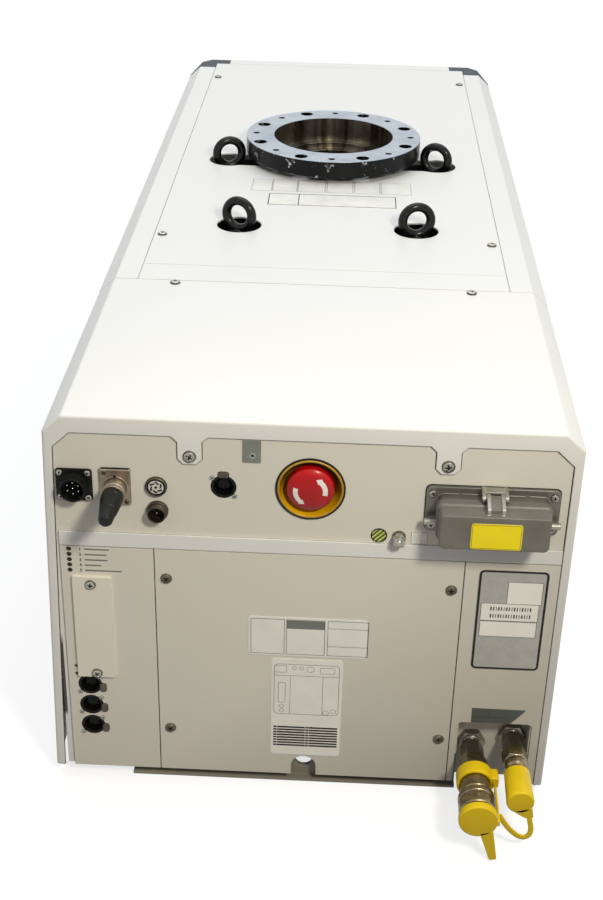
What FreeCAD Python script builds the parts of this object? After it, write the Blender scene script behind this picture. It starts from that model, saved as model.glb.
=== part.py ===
import FreeCAD, Part
import math
import os
from FreeCAD import Vector

# Vacuum booster pump in a sheet-metal case, in millimetres.
# +X is to the right seen from the front, +Y runs from the front to the back, +Z is up.
# The origin is on the underside of the base frame, at the middle of its centre beam.
# The pump lies at a fixed distance from the middle of the case, and the origin at one before the inlet.

# Case
case_width = 470.0
case_length = 1224.0
case_height = 404.0
origin_before_inlet = 144.5
sheet = 2.0
edge_run = 17.0
edge_drop = 15.5
skirt_height = 12.0
hood_length = 308.0
seam = 1.4
wing_splay = 9.6
fit_gap = 0.3
bezel_side = 8.0
bezel_top = 16.5
bezel_corner = (16.0, 15.0)
tab_width = 21.3
tab_bottom = 43.6
tab_flare = 5.5
tab_screw_drop = 35.5
tab_left = 106.6
tab_right = 118.3

# Front panels and the crossbar between them
crossbar_drop = 118.0
crossbar_height = 14.5
crossbar_depth = 18.0
panel_gap = 1.0
panel_side_gap = 0.8
side_panel_width = 85.1
panel_return = 8.0
notch_width = 24.4
notch_rise = 23.1
recess_sill = 47.0
mullion_lap = 16.1

# Roof panel, rails and rear bar
roof_rail_width = 37.0
rail_height = 15.0
roof_ledge = 41.2
roof_strip = 44.0
roof_panel_gap = 0.9
rear_bar_height = 30.0
rear_bar_depth = 24.8
rear_bar_ledge = 61.3
guard_lap = 23.2
guard_height = 90.0
guard_corner = (32.0, 37.0)
post_depth = 20.0
post_width = 20.0
post_lap = 2.3
first_post = 82.0
second_post_setback = 13.0
last_post_setin = 49.2
cheek = 3.0
lip = 8.0
brace = 4.0
rail_setback = 6.0
tab_back = 10.0

# Cooling slots
louvre_rows = (110.0, 190.0)
louvre_size = (6.0, 62.0)
louvre_pitch = 17.0
louvre_count = 14
louvre_run = 329.8
rear_slot_size = (110.0, 7.0)
rear_slot_start = 60.0
rear_slot_pitch = 20.0
rear_slot_rows = 9
rear_slot_spread = 150.0

# Screws of the covers
screw_radius = 2.0
screw_clearance = 0.25
screw_head = 4.2
screw_head_rise = 1.6
screw_dome_rise = 1.1
roof_screw_inset = 8.8
roof_screw_setbacks = (88.0, 83.2)
hood_screw_inset = 81.0
hood_screw_margin = 7.0
centre_screw_inset = 10.1
centre_screw_drop = 31.0
centre_screw_rise = 52.2
side_screw_drop = 54.0
side_screw_rise = 60.0
guard_screw_gap = 24.0

# Base frame
rail_setin = 95.0
rail_width = 30.0
rail_rise = 60.0
rail_wall = 4.0
rail_start = 17.0
rail_end_gap = 9.2
beam_rise = 40.0
centre_beam_width = 40.0
toe_beam_insets = (57.2, 76.2)
toe_beam_rise = 45.0
toe_beam_wall = 4.0
toe_beam_setback = 12.0
toe_beam_hole = 8.5
toe_beam_hole_height = 22.0
floor_hole = 7.0
floor_hole_along = 900.0

# Pump casing
inlet_offset = 132.5
shaft_height = 205.0
gear_module = 2.5
gear_teeth = 45
shaft_spacing = gear_module * gear_teeth
rotor_length = 340.0
rotor_gap = 0.2
bore_gap = 0.25
end_gap = 0.3
casing_wall = 16.0
casing_top = 325.0
casing_bottom = 85.0
casing_round = 36.0
rib_height = 7.0
plate_thickness = 48.7
plate_bottom = 60.0
bell_length = 80.0
bell_radius = 115.0
shaft_radius = 24.0
journal_radius = 20.0
bearing_outer = 40.0
bearing_width = 18.0
bearing_wall = 6.0
ball_gap = 0.15
cage_half = 5.5
cage_wall = 2.2
balls_per_bearing = 9
seal_outer = 34.0
seal_width = 10.0
gear_width = 28.0
gear_cover_length = 118.0
gear_cover_wall = 8.0

# Inlet and outlet flanges
flange_radius = 112.5
flange_face = 28.0
flange_thickness = 21.0
flange_circle = 200.0
flange_large_hole = 8.3
flange_small_hole = 4.25
flange_holes = 8
neck_radius = 90.0
inlet_bore = 77.0
inlet_bore_depth = 30.0
inlet_step_bore = 66.0
inlet_step_depth = 7.0
inlet_throat = 55.0
foot_radius = 110.0
foot_thickness = 18.0
outlet_radius = 82.5
outlet_circle = 145.0
outlet_hole = 4.5
outlet_face = 8.0
outlet_thickness = 16.0
outlet_bore = 50.0
outlet_neck = 62.0
outlet_recess = 52.0
outlet_recess_depth = 8.0

# Lifting eyes
eye_outer = 22.0
eye_wire = 5.6
eye_collar = 12.0
eye_collar_height = 4.5
eye_shank = 5.0
eye_boss = 22.0
eye_hole = 25.6
front_eye_x = 101.5
front_eye_before = 265.5
rear_eye_x = 133.0
rear_eye_before = 28.5
front_boss_drop = 13.5
rear_boss_drop = 16.5
eye_turns = (-25.0, 12.0, 18.0, -25.0)

# Motor
motor_radius = 105.0
motor_length = 240.0
motor_wall = 10.0
winding_inner = 62.0
winding_length = 150.0
motor_rotor_radius = 61.2

# Relief valve
valve_setin = 50.0
valve_back = 85.5
valve_bore = 18.0
valve_seat_height = 190.0
valve_seat_hole = 11.0
valve_seat_wall = 10.0
valve_gap = 0.4
valve_disc = 8.0
valve_stem = 5.0
valve_block = 62.0
valve_port = 9.0
spring_wire = 1.5
spring_radius = 14.0
spring_turns = 9
cap_depth = 8.0

# Emergency stop
stop_x = -0.5
stop_drop = 64.5
stop_radius = 31.0
stop_bowl = 27.5
stop_depth = 18.0
stop_head = 19.8
stop_stem = 8.0

# Round signal sockets with a latch
latch_radius = 11.2
latch_bore = 8.6
latch_depth = 9.0
latch_body = 12.0
latch_length = 24.0
latch_tab = (5.8, 9.6)
latch_tab_corner = 2.4
latch_tab_reach = 12.4
latch_tab_drop = 3.2
latch_tab_wall = 1.8
latch_screw = (9.8, 9.0)
latch_screw_head = 2.2
latch_screw_radius = 1.2
upper_latch = (-77.2, 66.0)
lower_latch_inset = 20.2
lower_latch_lean = 0.3
lower_latch_drop = 290.5
lower_latch_pitch = 24.6

# Flanged sockets, round sockets and the interlock plug, set in from the panels' left edge
pin_flange = 32.5
pin_inset = 17.2
pin_drop = 68.0
pin_screw_half_pitch = 12.4
plug_flange = (27.0, 36.0)
plug_inset = 53.6
plug_flange_drop = 68.7
plug_axis_drop = 69.5
plug_radius = 9.6
plug_reach = 56.5
round_insets = (89.6, 90.1)
round_drops = (67.5, 92.8)
round_radius = 10.5

# Rectangular power socket
power_inset = 66.5
power_drop = 78.0
power_base = (118.5, 47.0)
power_collar = (98.0, 33.0)
power_collar_depth = 14.0
power_lid_depth = 24.0
power_lid_wall = 3.0
power_screw = (106.0, 32.0)
power_flange_thickness = 3.5
power_flange_corner = 5.0
power_collar_corner = 6.0
power_walls = (12.0, 10.0)
power_collar_step = (8.0, 5.0)
power_cut_corner = 4.0
power_body_length = 28.0
power_cavity_length = 20.0
power_peg = (3.0, 11.0)
power_peg_place = (7.0, 3.0)
hinge_drop = 57.0
hinge_out = 15.0
hinge_pin = 2.0
hinge_ear = 3.5
hinge_ear_span = (8.2, 11.4)
hinge_pin_half = 11.8

# Slot cover, lights and plates
slot_plate = (35.6, 114.3)
slot_plate_inset = 27.6
slot_plate_wall = 3.0
slot_plate_drop = 222.1
slot_opening = (22.0, 84.0)
slot_screw_rise = 47.6
slot_screw_fall = 53.9
slot_screw_offset = 1.0
light_inset = 8.2
light_drop = 136.3
light_pitch = 5.75
light_radius = 2.2
lights = 5
small_hole_inset = 7.8
small_hole_drops = (269.3, 278.5)
small_hole = 1.9
earth_stud_offset = 80.2
earth_stud_drop = 110.2
earth_stud_radius = 3.0
earth_stud_reach = (12.0, 14.0)
earth_washer = (6.2, 1.4)
earth_nut = 10.0
earth_nut_reach = 4.6
earth_second_nut = (5.0, 9.8)
earth_disc_offset = 98.0
earth_disc_drop = 109.8
earth_disc = 7.4
bare_tag = (69.3, 54.9)
bare_tag_drops = (117.0, 104.8)
wire_tab = (-60.0, -44.2)
wire_tab_drop = 39.5
wire_tab_hole = (-51.7, 33.0)
wire_tab_wall = 1.5
wire_tab_hole_radius = 1.8
film = 0.5
plate_corner = 3.0
notice_plate = (0.6, 224.45, 110.6, 44.3)
diagram_plate = (1.0, 308.15, 67.5, 116.7)
rating_inset = 40.6
rating_drop = 196.0
rating_size = (63.4, 111.4)
dark_tag = ((66.7, 299.0), (15.2, 299.6), (28.6, 316.2), (66.4, 316.4))
roof_cells = ((-96.5, -71.5), (-71.0, -40.5), (-40.0, -6.0), (-4.5, 28.0), (29.5, 61.0), (62.0, 99.5))
roof_cells_before = (146.5, 103.0)
roof_band = (-74.0, 80.5)
roof_band_before = (195.5, 154.5)

# Cooling water connections
recess_insets = (79.3, 7.6)
recess_rise = 87.0
pan_setback = 22.0
pan_over = 3.0
pan_margin = 0.4
water_insets = (62.2, 23.2)
water_rises = (49.0, 59.0)
bulkhead_nut = 8.0
bulkhead_bore = 8.0
union_pipe = 7.6
union_tail = 30.0
left_flats = (23.5, 19.5, 24.0)
left_steps = (9.5, 10.0, 28.0, 86.0)
coupling_body = 14.2
coupling_bore = 9.0
coupling_bore_start = 46.0
right_flats = (23.0, 18.7, 21.5)
right_steps = (12.5, 8.0, 32.0, 70.0)
nipple_radius = 8.0
hose_radius = 7.0
hose_bore = 4.5
hose_start = 10.0
hose_bend_lead = 195.5
hose_bend_radii = (160.0, 120.0)
port_x = 140.0
port_rise = 40.0
port_pitch = 40.0
port_lead = 75.0
port_length = 24.0

# Drive unit
unit_left_gap = 26.7
unit_right_gap = 28.0
unit_depth = 83.5
unit_rear_gap = 14.0
unit_foot_height = 10.0
unit_foot = (24.0, 20.0)
unit_foot_margin = 6.0
unit_head_room = 104.0
unit_lid = 6.0
unit_ribs = 6
unit_rib = (8.0, 3.0)
unit_rib_start = 10.0
unit_rib_slack = 23.5
unit_rib_margins = (40.0, 20.0)

# Values worked out from the sizes above
half = case_width / 2
inlet_setback = case_length / 2 + inlet_offset
front = origin_before_inlet - inlet_setback
rear = front + case_length
top = case_height
rail_top = top - sheet
pitch_radius = shaft_spacing / 2
chamber_radius = 1.5 * pitch_radius + bore_gap
casing_half = pitch_radius + chamber_radius + casing_wall
inlet_y = front + inlet_setback
chamber_front = inlet_y - rotor_length / 2 - end_gap
chamber_back = inlet_y + rotor_length / 2 + end_gap
plate_front = chamber_front - plate_thickness
plate_back = chamber_back + plate_thickness
bell_front = plate_front - bell_length
gear_front = plate_back + 12.0
shaft_end = gear_front + gear_width + 6.0
drive_x = -pitch_radius
driven_x = pitch_radius
crossbar_top = top - crossbar_drop
crossbar_bottom = crossbar_top - crossbar_height
lower_panel_top = crossbar_bottom - panel_gap
lower_panel_bottom = skirt_height + 0.5
panel_edge = half - bezel_side - panel_side_gap
side_edge = panel_edge - side_panel_width
centre_edge = side_edge - panel_gap
inner_wall = half - sheet - fit_gap
edge_length = math.hypot(edge_run, edge_drop)
motor_front = bell_front - motor_length
rail_outer = inner_wall - post_width + post_lap
rail_inner = rail_outer - roof_rail_width
roof_panel_width = case_width - 2 * roof_ledge
rear_bar_width = case_width - 2 * rear_bar_ledge
cover_end = case_length - rear_bar_depth
roof_panel_start = hood_length + roof_strip
roof_panel_end = cover_end - roof_panel_gap
guard_start = cover_end - guard_lap
post_setbacks = (first_post, hood_length + second_post_setback, cover_end - last_post_setin)
rail_end = cover_end - rail_end_gap
valve_x = half - valve_setin
rail_gap = 2 * (half - rail_setin - rail_width)
toe_beam_left, toe_beam_right = [panel_edge - inset for inset in toe_beam_insets]
front_eye = (front_eye_x, inlet_setback - front_eye_before)
rear_eye = (rear_eye_x, inlet_setback - rear_eye_before)
floor_hole_pitch = (rail_gap + rail_width, floor_hole_along)
pin_socket = (pin_inset - panel_edge, pin_drop)
plug_socket = (plug_inset - panel_edge, plug_flange_drop)
round_sockets = [(inset - panel_edge, drop) for inset, drop in zip(round_insets, round_drops)]
lower_latch_x = lower_latch_inset - panel_edge
slot_plate_x = slot_plate_inset - panel_edge
light_x = light_inset - panel_edge
power_x = panel_edge - power_inset
power_cut = [a - b for a, b in zip(power_collar, power_collar_step)]
earth_stud_place = (power_x - earth_stud_offset, earth_stud_drop)
earth_disc_place = (power_x - earth_disc_offset, earth_disc_drop)
recess = tuple(panel_edge - inset for inset in recess_insets)
recess_top = top - recess_rise
pan_height = recess_rise + pan_over
left_water, right_water = [(panel_edge - a, top - b) for a, b in zip(water_insets, water_rises)]


def box(x, y, z):
    """A block between two limits on each axis."""
    return Part.makeBox(x[1] - x[0], y[1] - y[0], z[1] - z[0], Vector(x[0], y[0], z[0]))


def rod(start, end, radius):
    """A round bar from one point to another."""
    start = Vector(*start)
    run = Vector(*end) - start
    return Part.makeCylinder(radius, run.Length, start, run)


def tube(start, end, outer, inner):
    return rod(start, end, outer).cut(rod(start, end, inner))


def cone(start, end, first, last):
    start = Vector(*start)
    run = Vector(*end) - start
    return Part.makeCone(first, last, run.Length, start, run)


def bar_y(x, z, y, radius):
    """A round bar along Y, between the two values of y."""
    return rod((x, y[0], z), (x, y[1], z), radius)


def tube_y(x, z, y, outer, inner):
    return tube((x, y[0], z), (x, y[1], z), outer, inner)


def bar_z(x, y, z, radius):
    return rod((x, y, z[0]), (x, y, z[1]), radius)


def prism(points, axis, low, high):
    """A flat outline carried along one axis; its points are given on the other two axes in order."""
    place = {
        "x": lambda a, b: Vector(low, a, b),
        "y": lambda a, b: Vector(a, low, b),
        "z": lambda a, b: Vector(a, b, low),
    }[axis]
    run = {"x": Vector(1, 0, 0), "y": Vector(0, 1, 0), "z": Vector(0, 0, 1)}[axis]
    corners = [place(a, b) for a, b in points]
    wire = Part.makePolygon(corners + corners[:1])
    return Part.Face(wire).extrude(run * (high - low))


def rounded(x, z, size, y, radius):
    """A plate facing the front, with rounded corners, centred on (x, z)."""
    width, height = size
    body = box((x - width / 2, x + width / 2), y, (z - height / 2, z + height / 2))
    upright = [e for e in body.Edges if abs(e.tangentAt(e.FirstParameter).y) > 0.9]
    return body.makeFillet(radius, upright)


def hexagon(x, z, y, across):
    """A six-sided bar along Y, with two flats level."""
    corner = across / math.sqrt(3)
    turns = [math.radians(60 * k) for k in range(6)]
    points = [(x + corner * math.cos(t), z + corner * math.sin(t)) for t in turns]
    return prism(points, "y", y[0], y[1])


def fuse(shapes):
    joined = shapes[0].multiFuse(shapes[1:])
    return joined.removeSplitter()


def mirror_x(shape):
    return shape.mirror(Vector(0, 0, 0), Vector(1, 0, 0))


def both_sides(shape):
    return [shape, mirror_x(shape)]


def on_circle(radius, count, first):
    """Points on a circle round the inlet axis, as x and y."""
    turns = [math.radians(first + 360 * k / count) for k in range(count)]
    return [(radius * math.cos(t), inlet_y + radius * math.sin(t)) for t in turns]


def pan_screw(at, out, head=screw_head, length=9.0, radius=screw_radius):
    """A pan-head screw: a low domed head standing on a surface at a point, and its shank."""
    at = Vector(*at)
    out = Vector(*out)
    rim = screw_head_rise * head / screw_head
    rise = screw_dome_rise * head / screw_head
    disc = Part.makeCylinder(head, rim, at, out)
    dome = Part.makeCone(head, head * 0.72, rise, at + out * rim, out)
    shank = Part.makeCylinder(radius, length, at, out * -1)
    slot = Part.makeCylinder(head * 0.42, rise + 1, at + out * (rim + 0.1), out)
    return disc.fuse([dome, shank]).cut(slot).removeSplitter()


def screw_hole(at, out, depth=40.0, radius=screw_radius):
    """The clearance hole for a screw that stands at the same point."""
    out = Vector(*out)
    start = Vector(*at) + out * 5
    return Part.makeCylinder(radius + screw_clearance, depth + 5, start, out * -1)


def wall_top(inset):
    """Height where the side wall meets the sloping edge, for a face set in from the outside."""
    return top - edge_drop - inset * (edge_length - edge_drop) / edge_run


def roof_side(inset):
    """Distance from the middle where the roof meets the sloping edge."""
    return half - edge_run - inset * (edge_length - edge_run) / edge_drop


# Screws that show, as the point on the surface and the direction the head faces
up = (0, 0, 1)
forward = (0, -1, 0)
roof_screw_x = roof_panel_width / 2 - roof_screw_inset
roof_screw_y = (roof_panel_start + roof_screw_setbacks[0], cover_end - roof_screw_setbacks[1])
roof_screws = [(x, front + y, top) for y in roof_screw_y for x in (-roof_screw_x, roof_screw_x)]
hood_screw_x = half - hood_screw_inset
hood_screws = [(x, front + hood_length - hood_screw_margin, top) for x in (-hood_screw_x, hood_screw_x)]
tab_screws = [(x, front, top - tab_screw_drop) for x in (-tab_left, tab_right)]
centre_screw_x = centre_edge - centre_screw_inset
centre_screw_z = (lower_panel_top - centre_screw_drop, lower_panel_bottom + centre_screw_rise)
centre_screws = [(x, front, z) for z in centre_screw_z for x in (-centre_screw_x, centre_screw_x)]
slot_plate_z = top - slot_plate_drop
slot_screw_x = slot_plate_x - slot_screw_offset
slot_screws = [(slot_screw_x, slot_plate_z + slot_screw_rise), (slot_screw_x, slot_plate_z - slot_screw_fall)]


def cover_band():
    """The bent sheet of the front cover, seen from the front: side walls, sloping edges and roof."""
    outer = [
        (-half - wing_splay, skirt_height),
        (-half, wall_top(0)),
        (-roof_side(0), top),
        (roof_side(0), top),
        (half, wall_top(0)),
        (half, skirt_height),
    ]
    inner = [
        (half - sheet, skirt_height),
        (half - sheet, wall_top(sheet)),
        (roof_side(sheet), top - sheet),
        (-roof_side(sheet), top - sheet),
        (-half + sheet, wall_top(sheet)),
        (-half - wing_splay + sheet, skirt_height),
    ]
    return outer, inner


def bezel_opening():
    """The hole that the front flange of the cover leaves for the panels."""
    side = half - bezel_side
    run, drop = bezel_corner
    line = top - bezel_top
    return [
        (-side - wing_splay, skirt_height - 1),
        (-side, line - drop),
        (-side + run, line),
        (side - run, line),
        (side, line - drop),
        (side, skirt_height - 1),
    ]


def bezel_tab(x):
    """A tongue that hangs from the front flange and takes a screw."""
    line = top - bezel_top
    edge = tab_width / 2
    low = top - tab_bottom
    cut = 5.0
    points = [
        (x - edge - tab_flare, line + 1),
        (x - edge - tab_flare, line),
        (x - edge, line - tab_flare),
        (x - edge, low + cut),
        (x - edge + cut, low),
        (x + edge - cut, low),
        (x + edge, low + cut),
        (x + edge, line - tab_flare),
        (x + edge + tab_flare, line),
        (x + edge + tab_flare, line + 1),
    ]
    return prism(points, "y", front, front + sheet)


def front_hood():
    outer, inner = cover_band()
    wrap = prism(outer + inner, "y", front, front + hood_length)
    flange = prism(outer, "y", front, front + sheet)
    flange = flange.cut(prism(bezel_opening(), "y", front - 1, front + sheet + 1))
    hood = fuse([wrap, flange, bezel_tab(-tab_left), bezel_tab(tab_right)])
    holes = [screw_hole(p, up) for p in hood_screws] + [screw_hole(p, forward) for p in tab_screws]
    return hood.cut(holes)


def side_cover():
    """The right-hand rear cover: a side wall with the sloping edge and a narrow roof ledge."""
    ledge = roof_panel_width / 2 + 0.8
    outline = [
        (half, skirt_height),
        (half, wall_top(0)),
        (roof_side(0), top),
        (ledge, top),
        (ledge, top - sheet),
        (roof_side(sheet), top - sheet),
        (half - sheet, wall_top(sheet)),
        (half - sheet, skirt_height),
    ]
    start = front + hood_length + seam
    end = front + cover_end
    cover = prism(outline, "y", start, end)
    notch_y = (front + guard_start - fit_gap, end + 1)
    notch = box((0, half + 1), notch_y, (top - guard_height - fit_gap, top + 1))
    slots = []
    wide, high = louvre_size
    for row in louvre_rows:
        for k in range(louvre_count):
            y = end - louvre_run + louvre_pitch * k
            slots.append(box((half - sheet - 1, half + 1), (y, y + wide), (row, row + high)))
    screws = [screw_hole(p, (1, 0, 0), 12.0) for p in side_screws(1)]
    return cover.cut([notch] + slots + screws)


def side_screws(sign):
    middle, back = [setback + post_depth / 2 for setback in post_setbacks[1:]]
    high = top - side_screw_drop
    under_guard = top - guard_height - guard_screw_gap
    places = [(middle, high), (middle, side_screw_rise), (back, under_guard), (back, side_screw_rise)]
    return [(sign * half, front + y, z) for y, z in places]


def roof_opening():
    """The hole in the roof panel for the inlet neck, with a lobe for each rear lifting eye."""
    shapes = [bar_z(0, inlet_y, (top - 10, top + 10), neck_radius + 3)]
    for side in (-1, 1):
        x = side * rear_eye[0]
        y = front + rear_eye[1]
        shapes.append(bar_z(x, y, (top - 10, top + 10), eye_hole))
        shapes.append(box(sorted((0, x)), (y - eye_hole + 4, y + eye_hole - 4), (top - 10, top + 10)))
        shapes.append(bar_z(side * front_eye[0], front + front_eye[1], (top - 10, top + 10), eye_hole))
    return shapes


def top_panel():
    edge = roof_panel_width / 2
    panel = box((-edge, edge), (front + roof_panel_start, front + roof_panel_end), (rail_top, top))
    return panel.cut(roof_opening() + [screw_hole(p, up) for p in roof_screws])


def corner_guard():
    """The moulded guard on the rear right corner, a thin shell with its corner cut back."""
    start = front + guard_start
    end = rear - 2.0
    low = top - guard_height
    inner_edge = roof_panel_width / 2 + 0.3
    bar_edge = rear_bar_width / 2 + 0.3
    bar_start = front + cover_end + 0.3

    def body(inset, begin, finish, corner):
        profile = [
            (inner_edge, low - inset * 2),
            (half - inset, low - inset * 2),
            (half - inset, wall_top(inset)),
            (roof_side(inset), top - inset),
            (inner_edge, top - inset),
        ]
        block = prism(profile, "y", begin, finish)
        arm_x = (bar_edge + inset, inner_edge + 1)
        arm = box(arm_x, (bar_start + inset, finish), (top - rear_bar_height, top - inset))
        plan = [(half + 1, end - corner[1]), (half + 1, end + 1), (half - corner[0], end + 1)]
        return fuse([block, arm]).cut(prism(plan, "z", low - 10, top + 1))

    shell = body(0, start, end, guard_corner)
    hollow = body(sheet, start - 1, end - sheet, (guard_corner[0] + sheet, guard_corner[1] + sheet))
    sweep = box((inner_edge - 1, inner_wall), (start - 1, bar_start), (low - 1, top - sheet))
    ledge = roof_side(sheet)
    keep = prism([(0, 0), (ledge, 0), (ledge, top - sheet), (0, top - sheet)], "y", start - 1, end)
    return shell.cut([hollow, sweep.common(keep)])


def rear_panel():
    y = front + cover_end + 0.3
    shoulder = top - guard_height - 1.0
    edge = rear_bar_width / 2
    panel = box((-half, half), (y, y + sheet), (skirt_height, shoulder))
    upper = box((-edge, edge), (y, y + sheet), (shoulder, top - rear_bar_height - 1.0))
    slots = []
    wide, high = rear_slot_size
    for row in range(rear_slot_rows):
        z = rear_slot_start + rear_slot_pitch * row
        for x in (-rear_slot_spread, 0.0, rear_slot_spread):
            slots.append(box((x - wide / 2, x + wide / 2), (y - 1, y + sheet + 1), (z, z + high)))
    return fuse([panel, upper]).cut(slots)


def upper_frame():
    """The welded inner frame: posts, cheeks, roof rails, the front crossbar, mullions and the rear bar."""
    low_rail = rail_top - rail_height
    rail_front = front + rail_setback
    rail = box((rail_inner, rail_outer), (rail_front, front + cover_end), (low_rail, rail_top))
    posts = []
    for setback in post_setbacks:
        y = front + setback
        posts.append(box((inner_wall - post_width, inner_wall), (y, y + post_depth), (beam_rise, low_rail)))
    foot = skirt_height + 2
    side = box((inner_wall - cheek, inner_wall), (front + sheet, front + post_setbacks[0]), (foot, low_rail))
    low_lip = box((inner_wall - lip, inner_wall), (front + sheet, rail_front), (foot, crossbar_bottom))
    high_lip = box((inner_wall - lip, inner_wall), (front + 2 * sheet, rail_front), (crossbar_top, low_rail))
    mullion_z = (toe_beam_rise + 1, crossbar_bottom + 1)
    mullion_x = (centre_edge - mullion_lap, recess[0] - pan_margin)
    mullion = box(mullion_x, (front + sheet, front + 14.0), mullion_z)
    pieces = []
    for item in [rail, side, low_lip, high_lip, mullion] + posts:
        pieces.extend(both_sides(item))
    edge = roof_panel_width / 2
    band = (crossbar_bottom, crossbar_top)
    pieces.append(box((-panel_edge, panel_edge), (front, front + crossbar_depth), band))
    pieces.append(box((-inner_wall, inner_wall), (front + sheet, front + crossbar_depth), band))
    strip_y = (front + hood_length + seam, front + roof_panel_start - 0.8)
    pieces.append(box((-edge, edge), strip_y, (low_rail, top)))
    back_y = (front + cover_end - 20.0, front + cover_end)
    pieces.append(box((-rail_outer, rail_outer), back_y, (low_rail - 12.0, rail_top)))
    bar = rear_bar_width / 2
    pieces.append(box((-bar, bar), (front + cover_end, rear), (top - rear_bar_height, top)))
    holes = [screw_hole(p, up) for p in roof_screws + hood_screws]
    holes += [screw_hole(p, forward, 12.0) for p in centre_screws]
    holes += [screw_hole(p, (s, 0, 0), 12.0) for s in (-1, 1) for p in side_screws(s)]
    tab_y = (front + 2 * sheet, rail_front + brace)
    tab_z = (top - tab_screw_drop - 24.5, rail_top)
    tabs = [box((x - tab_back, x + tab_back), tab_y, tab_z) for x in (-tab_left, tab_right)]
    beam_x = (-rail_inner - 1, rail_inner + 1)
    beam = box(beam_x, (rail_front, rail_front + brace), (low_rail, rail_top))
    holes += [screw_hole(p, forward, 12.0) for p in tab_screws]
    return fuse(pieces + tabs + [beam]).cut(holes)


def base_frame():
    """Two long channels, cross beams under the pump and the posts, and the stepped toe beam."""
    low = rail_gap / 2
    rail = box((low, low + rail_width), (front + rail_start, front + rail_end), (0, rail_rise))
    hollow_y = (front + rail_start - 1, front + rail_end + 1)
    hollow = box((low - 1, low + rail_width - rail_wall), hollow_y, (rail_wall, rail_rise - rail_wall))
    channel = rail.cut(hollow)
    pieces = both_sides(channel)
    reach = inner_wall
    for setback in post_setbacks:
        y = front + setback
        pieces.append(box((-reach, reach), (y, y + post_depth), (rail_wall, beam_rise)))
    centre = centre_beam_width / 2
    pieces.append(box((-low - 1, low + 1), (-centre, centre), (0, beam_rise)))
    for y in (plate_front + 8, chamber_back + 8):
        pieces.append(box((-low - 1, low + 1), (y, y + 32.0), (rail_wall, plate_bottom)))
    toe = front + toe_beam_setback
    toe_x = (-toe_beam_left, toe_beam_right)
    web = box(toe_x, (toe, toe + toe_beam_wall), (0, toe_beam_rise))
    foot = box(toe_x, (toe - 8.0, toe + 1), (0, 3.0))
    ties = both_sides(box((low, low + rail_width), (toe, front + rail_start + 1), (0, toe_beam_rise)))
    frame = fuse(pieces + [web, foot] + ties)
    hole = bar_y(0, toe_beam_hole_height, (toe - 1, toe + toe_beam_wall + 1), toe_beam_hole)
    across, along = floor_hole_pitch
    bolts = [
        bar_z(sx * across / 2, sy * along / 2, (-1, rail_wall + 1), floor_hole)
        for sx in (-1, 1)
        for sy in (-1, 1)
    ]
    return frame.cut([hole] + bolts)


def connector_panel():
    """The upper front panel, one sheet behind the bezel, cut for its sockets and the emergency stop."""
    edge = inner_wall - cheek - 0.2
    sheet_body = box((-edge, edge), (front + sheet, front + 2 * sheet), (crossbar_top, top - bezel_top + 2.5))
    y = (front, front + 10)
    cuts = [
        bar_y(stop_x, top - stop_drop, y, stop_bowl + 1.0),
        bar_y(upper_latch[0], top - upper_latch[1], y, latch_radius + fit_gap),
        latch_tab_block(0, y, fit_gap),
        bar_y(pin_socket[0], top - pin_socket[1], y, 12.3),
        bar_y(plug_socket[0], top - plug_axis_drop, y, plug_radius + 1.4),
        rounded(power_x, top - power_drop, power_cut, y, power_cut_corner),
        bar_y(earth_stud_place[0], top - earth_stud_place[1], y, earth_stud_radius + 0.2),
    ]
    for x, drop in round_sockets:
        cuts.append(bar_y(x, top - drop, y, round_radius - 2.0))
    cuts += [screw_hole(p, forward) for p in tab_screws]
    cuts += [screw_hole((x, front, z), forward) for x, z in flange_screws()]
    cuts += latch_screw_holes(0)
    return sheet_body.cut(cuts)


def flange_screws():
    """Screws of the square flanged socket and of the power socket."""
    x, drop = pin_socket
    z = top - drop
    reach = pin_screw_half_pitch
    places = [(x + a * reach, z + b * reach) for a in (-1, 1) for b in (-1, 1)]
    across, high = power_screw
    z = top - power_drop
    places += [(power_x + a * across / 2, z + b * high / 2) for a in (-1, 1) for b in (-1, 1)]
    return places


def lower_latch(k):
    return lower_latch_x + lower_latch_lean * k, top - lower_latch_drop - lower_latch_pitch * k


def left_panel():
    """The lower left panel with its lights, slot, two small holes and three latch sockets."""
    x = (-panel_edge, -side_edge)
    z = (lower_panel_bottom, lower_panel_top)
    body = box(x, (front, front + sheet), z)
    fold = box((x[0] + 4, x[1] - 1), (front, front + panel_return), (z[0], z[0] + sheet))
    y = (front - 1, front + sheet + 1)
    wide, high = slot_opening[0] / 2, slot_opening[1] / 2
    slot_x = (slot_plate_x - wide, slot_plate_x + wide)
    cuts = [box(slot_x, y, (slot_plate_z - high, slot_plate_z + high))]
    for k in range(lights):
        cuts.append(bar_y(light_x, top - light_drop - light_pitch * k, y, light_radius + 0.1))
    for drop in small_hole_drops:
        cuts.append(bar_y(small_hole_inset - panel_edge, top - drop, y, small_hole))
    for k in range(3):
        cx, cz = lower_latch(k)
        cuts.append(bar_y(cx, cz, y, latch_radius + fit_gap))
        cuts.append(latch_tab_block(k + 1, y, fit_gap))
        cuts += latch_screw_holes(k + 1)
    cuts += [screw_hole((a, front, b), forward) for a, b in slot_screws]
    return fuse([body, fold]).cut(cuts)


def centre_panel():
    body = box((-centre_edge, centre_edge), (front, front + sheet), (lower_panel_bottom, lower_panel_top))
    fold_z = (lower_panel_bottom, lower_panel_bottom + sheet)
    fold = box((-centre_edge + 1, centre_edge - 1), (front, front + panel_return), fold_z)
    radius = notch_width / 2
    arch = lower_panel_bottom + notch_rise - radius
    y = (front - 1, front + panel_return + 1)
    notch = [box((-radius, radius), y, (0, arch)), bar_y(0, arch, y, radius)]
    return fuse([body, fold]).cut(notch + [screw_hole(p, forward) for p in centre_screws])


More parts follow.
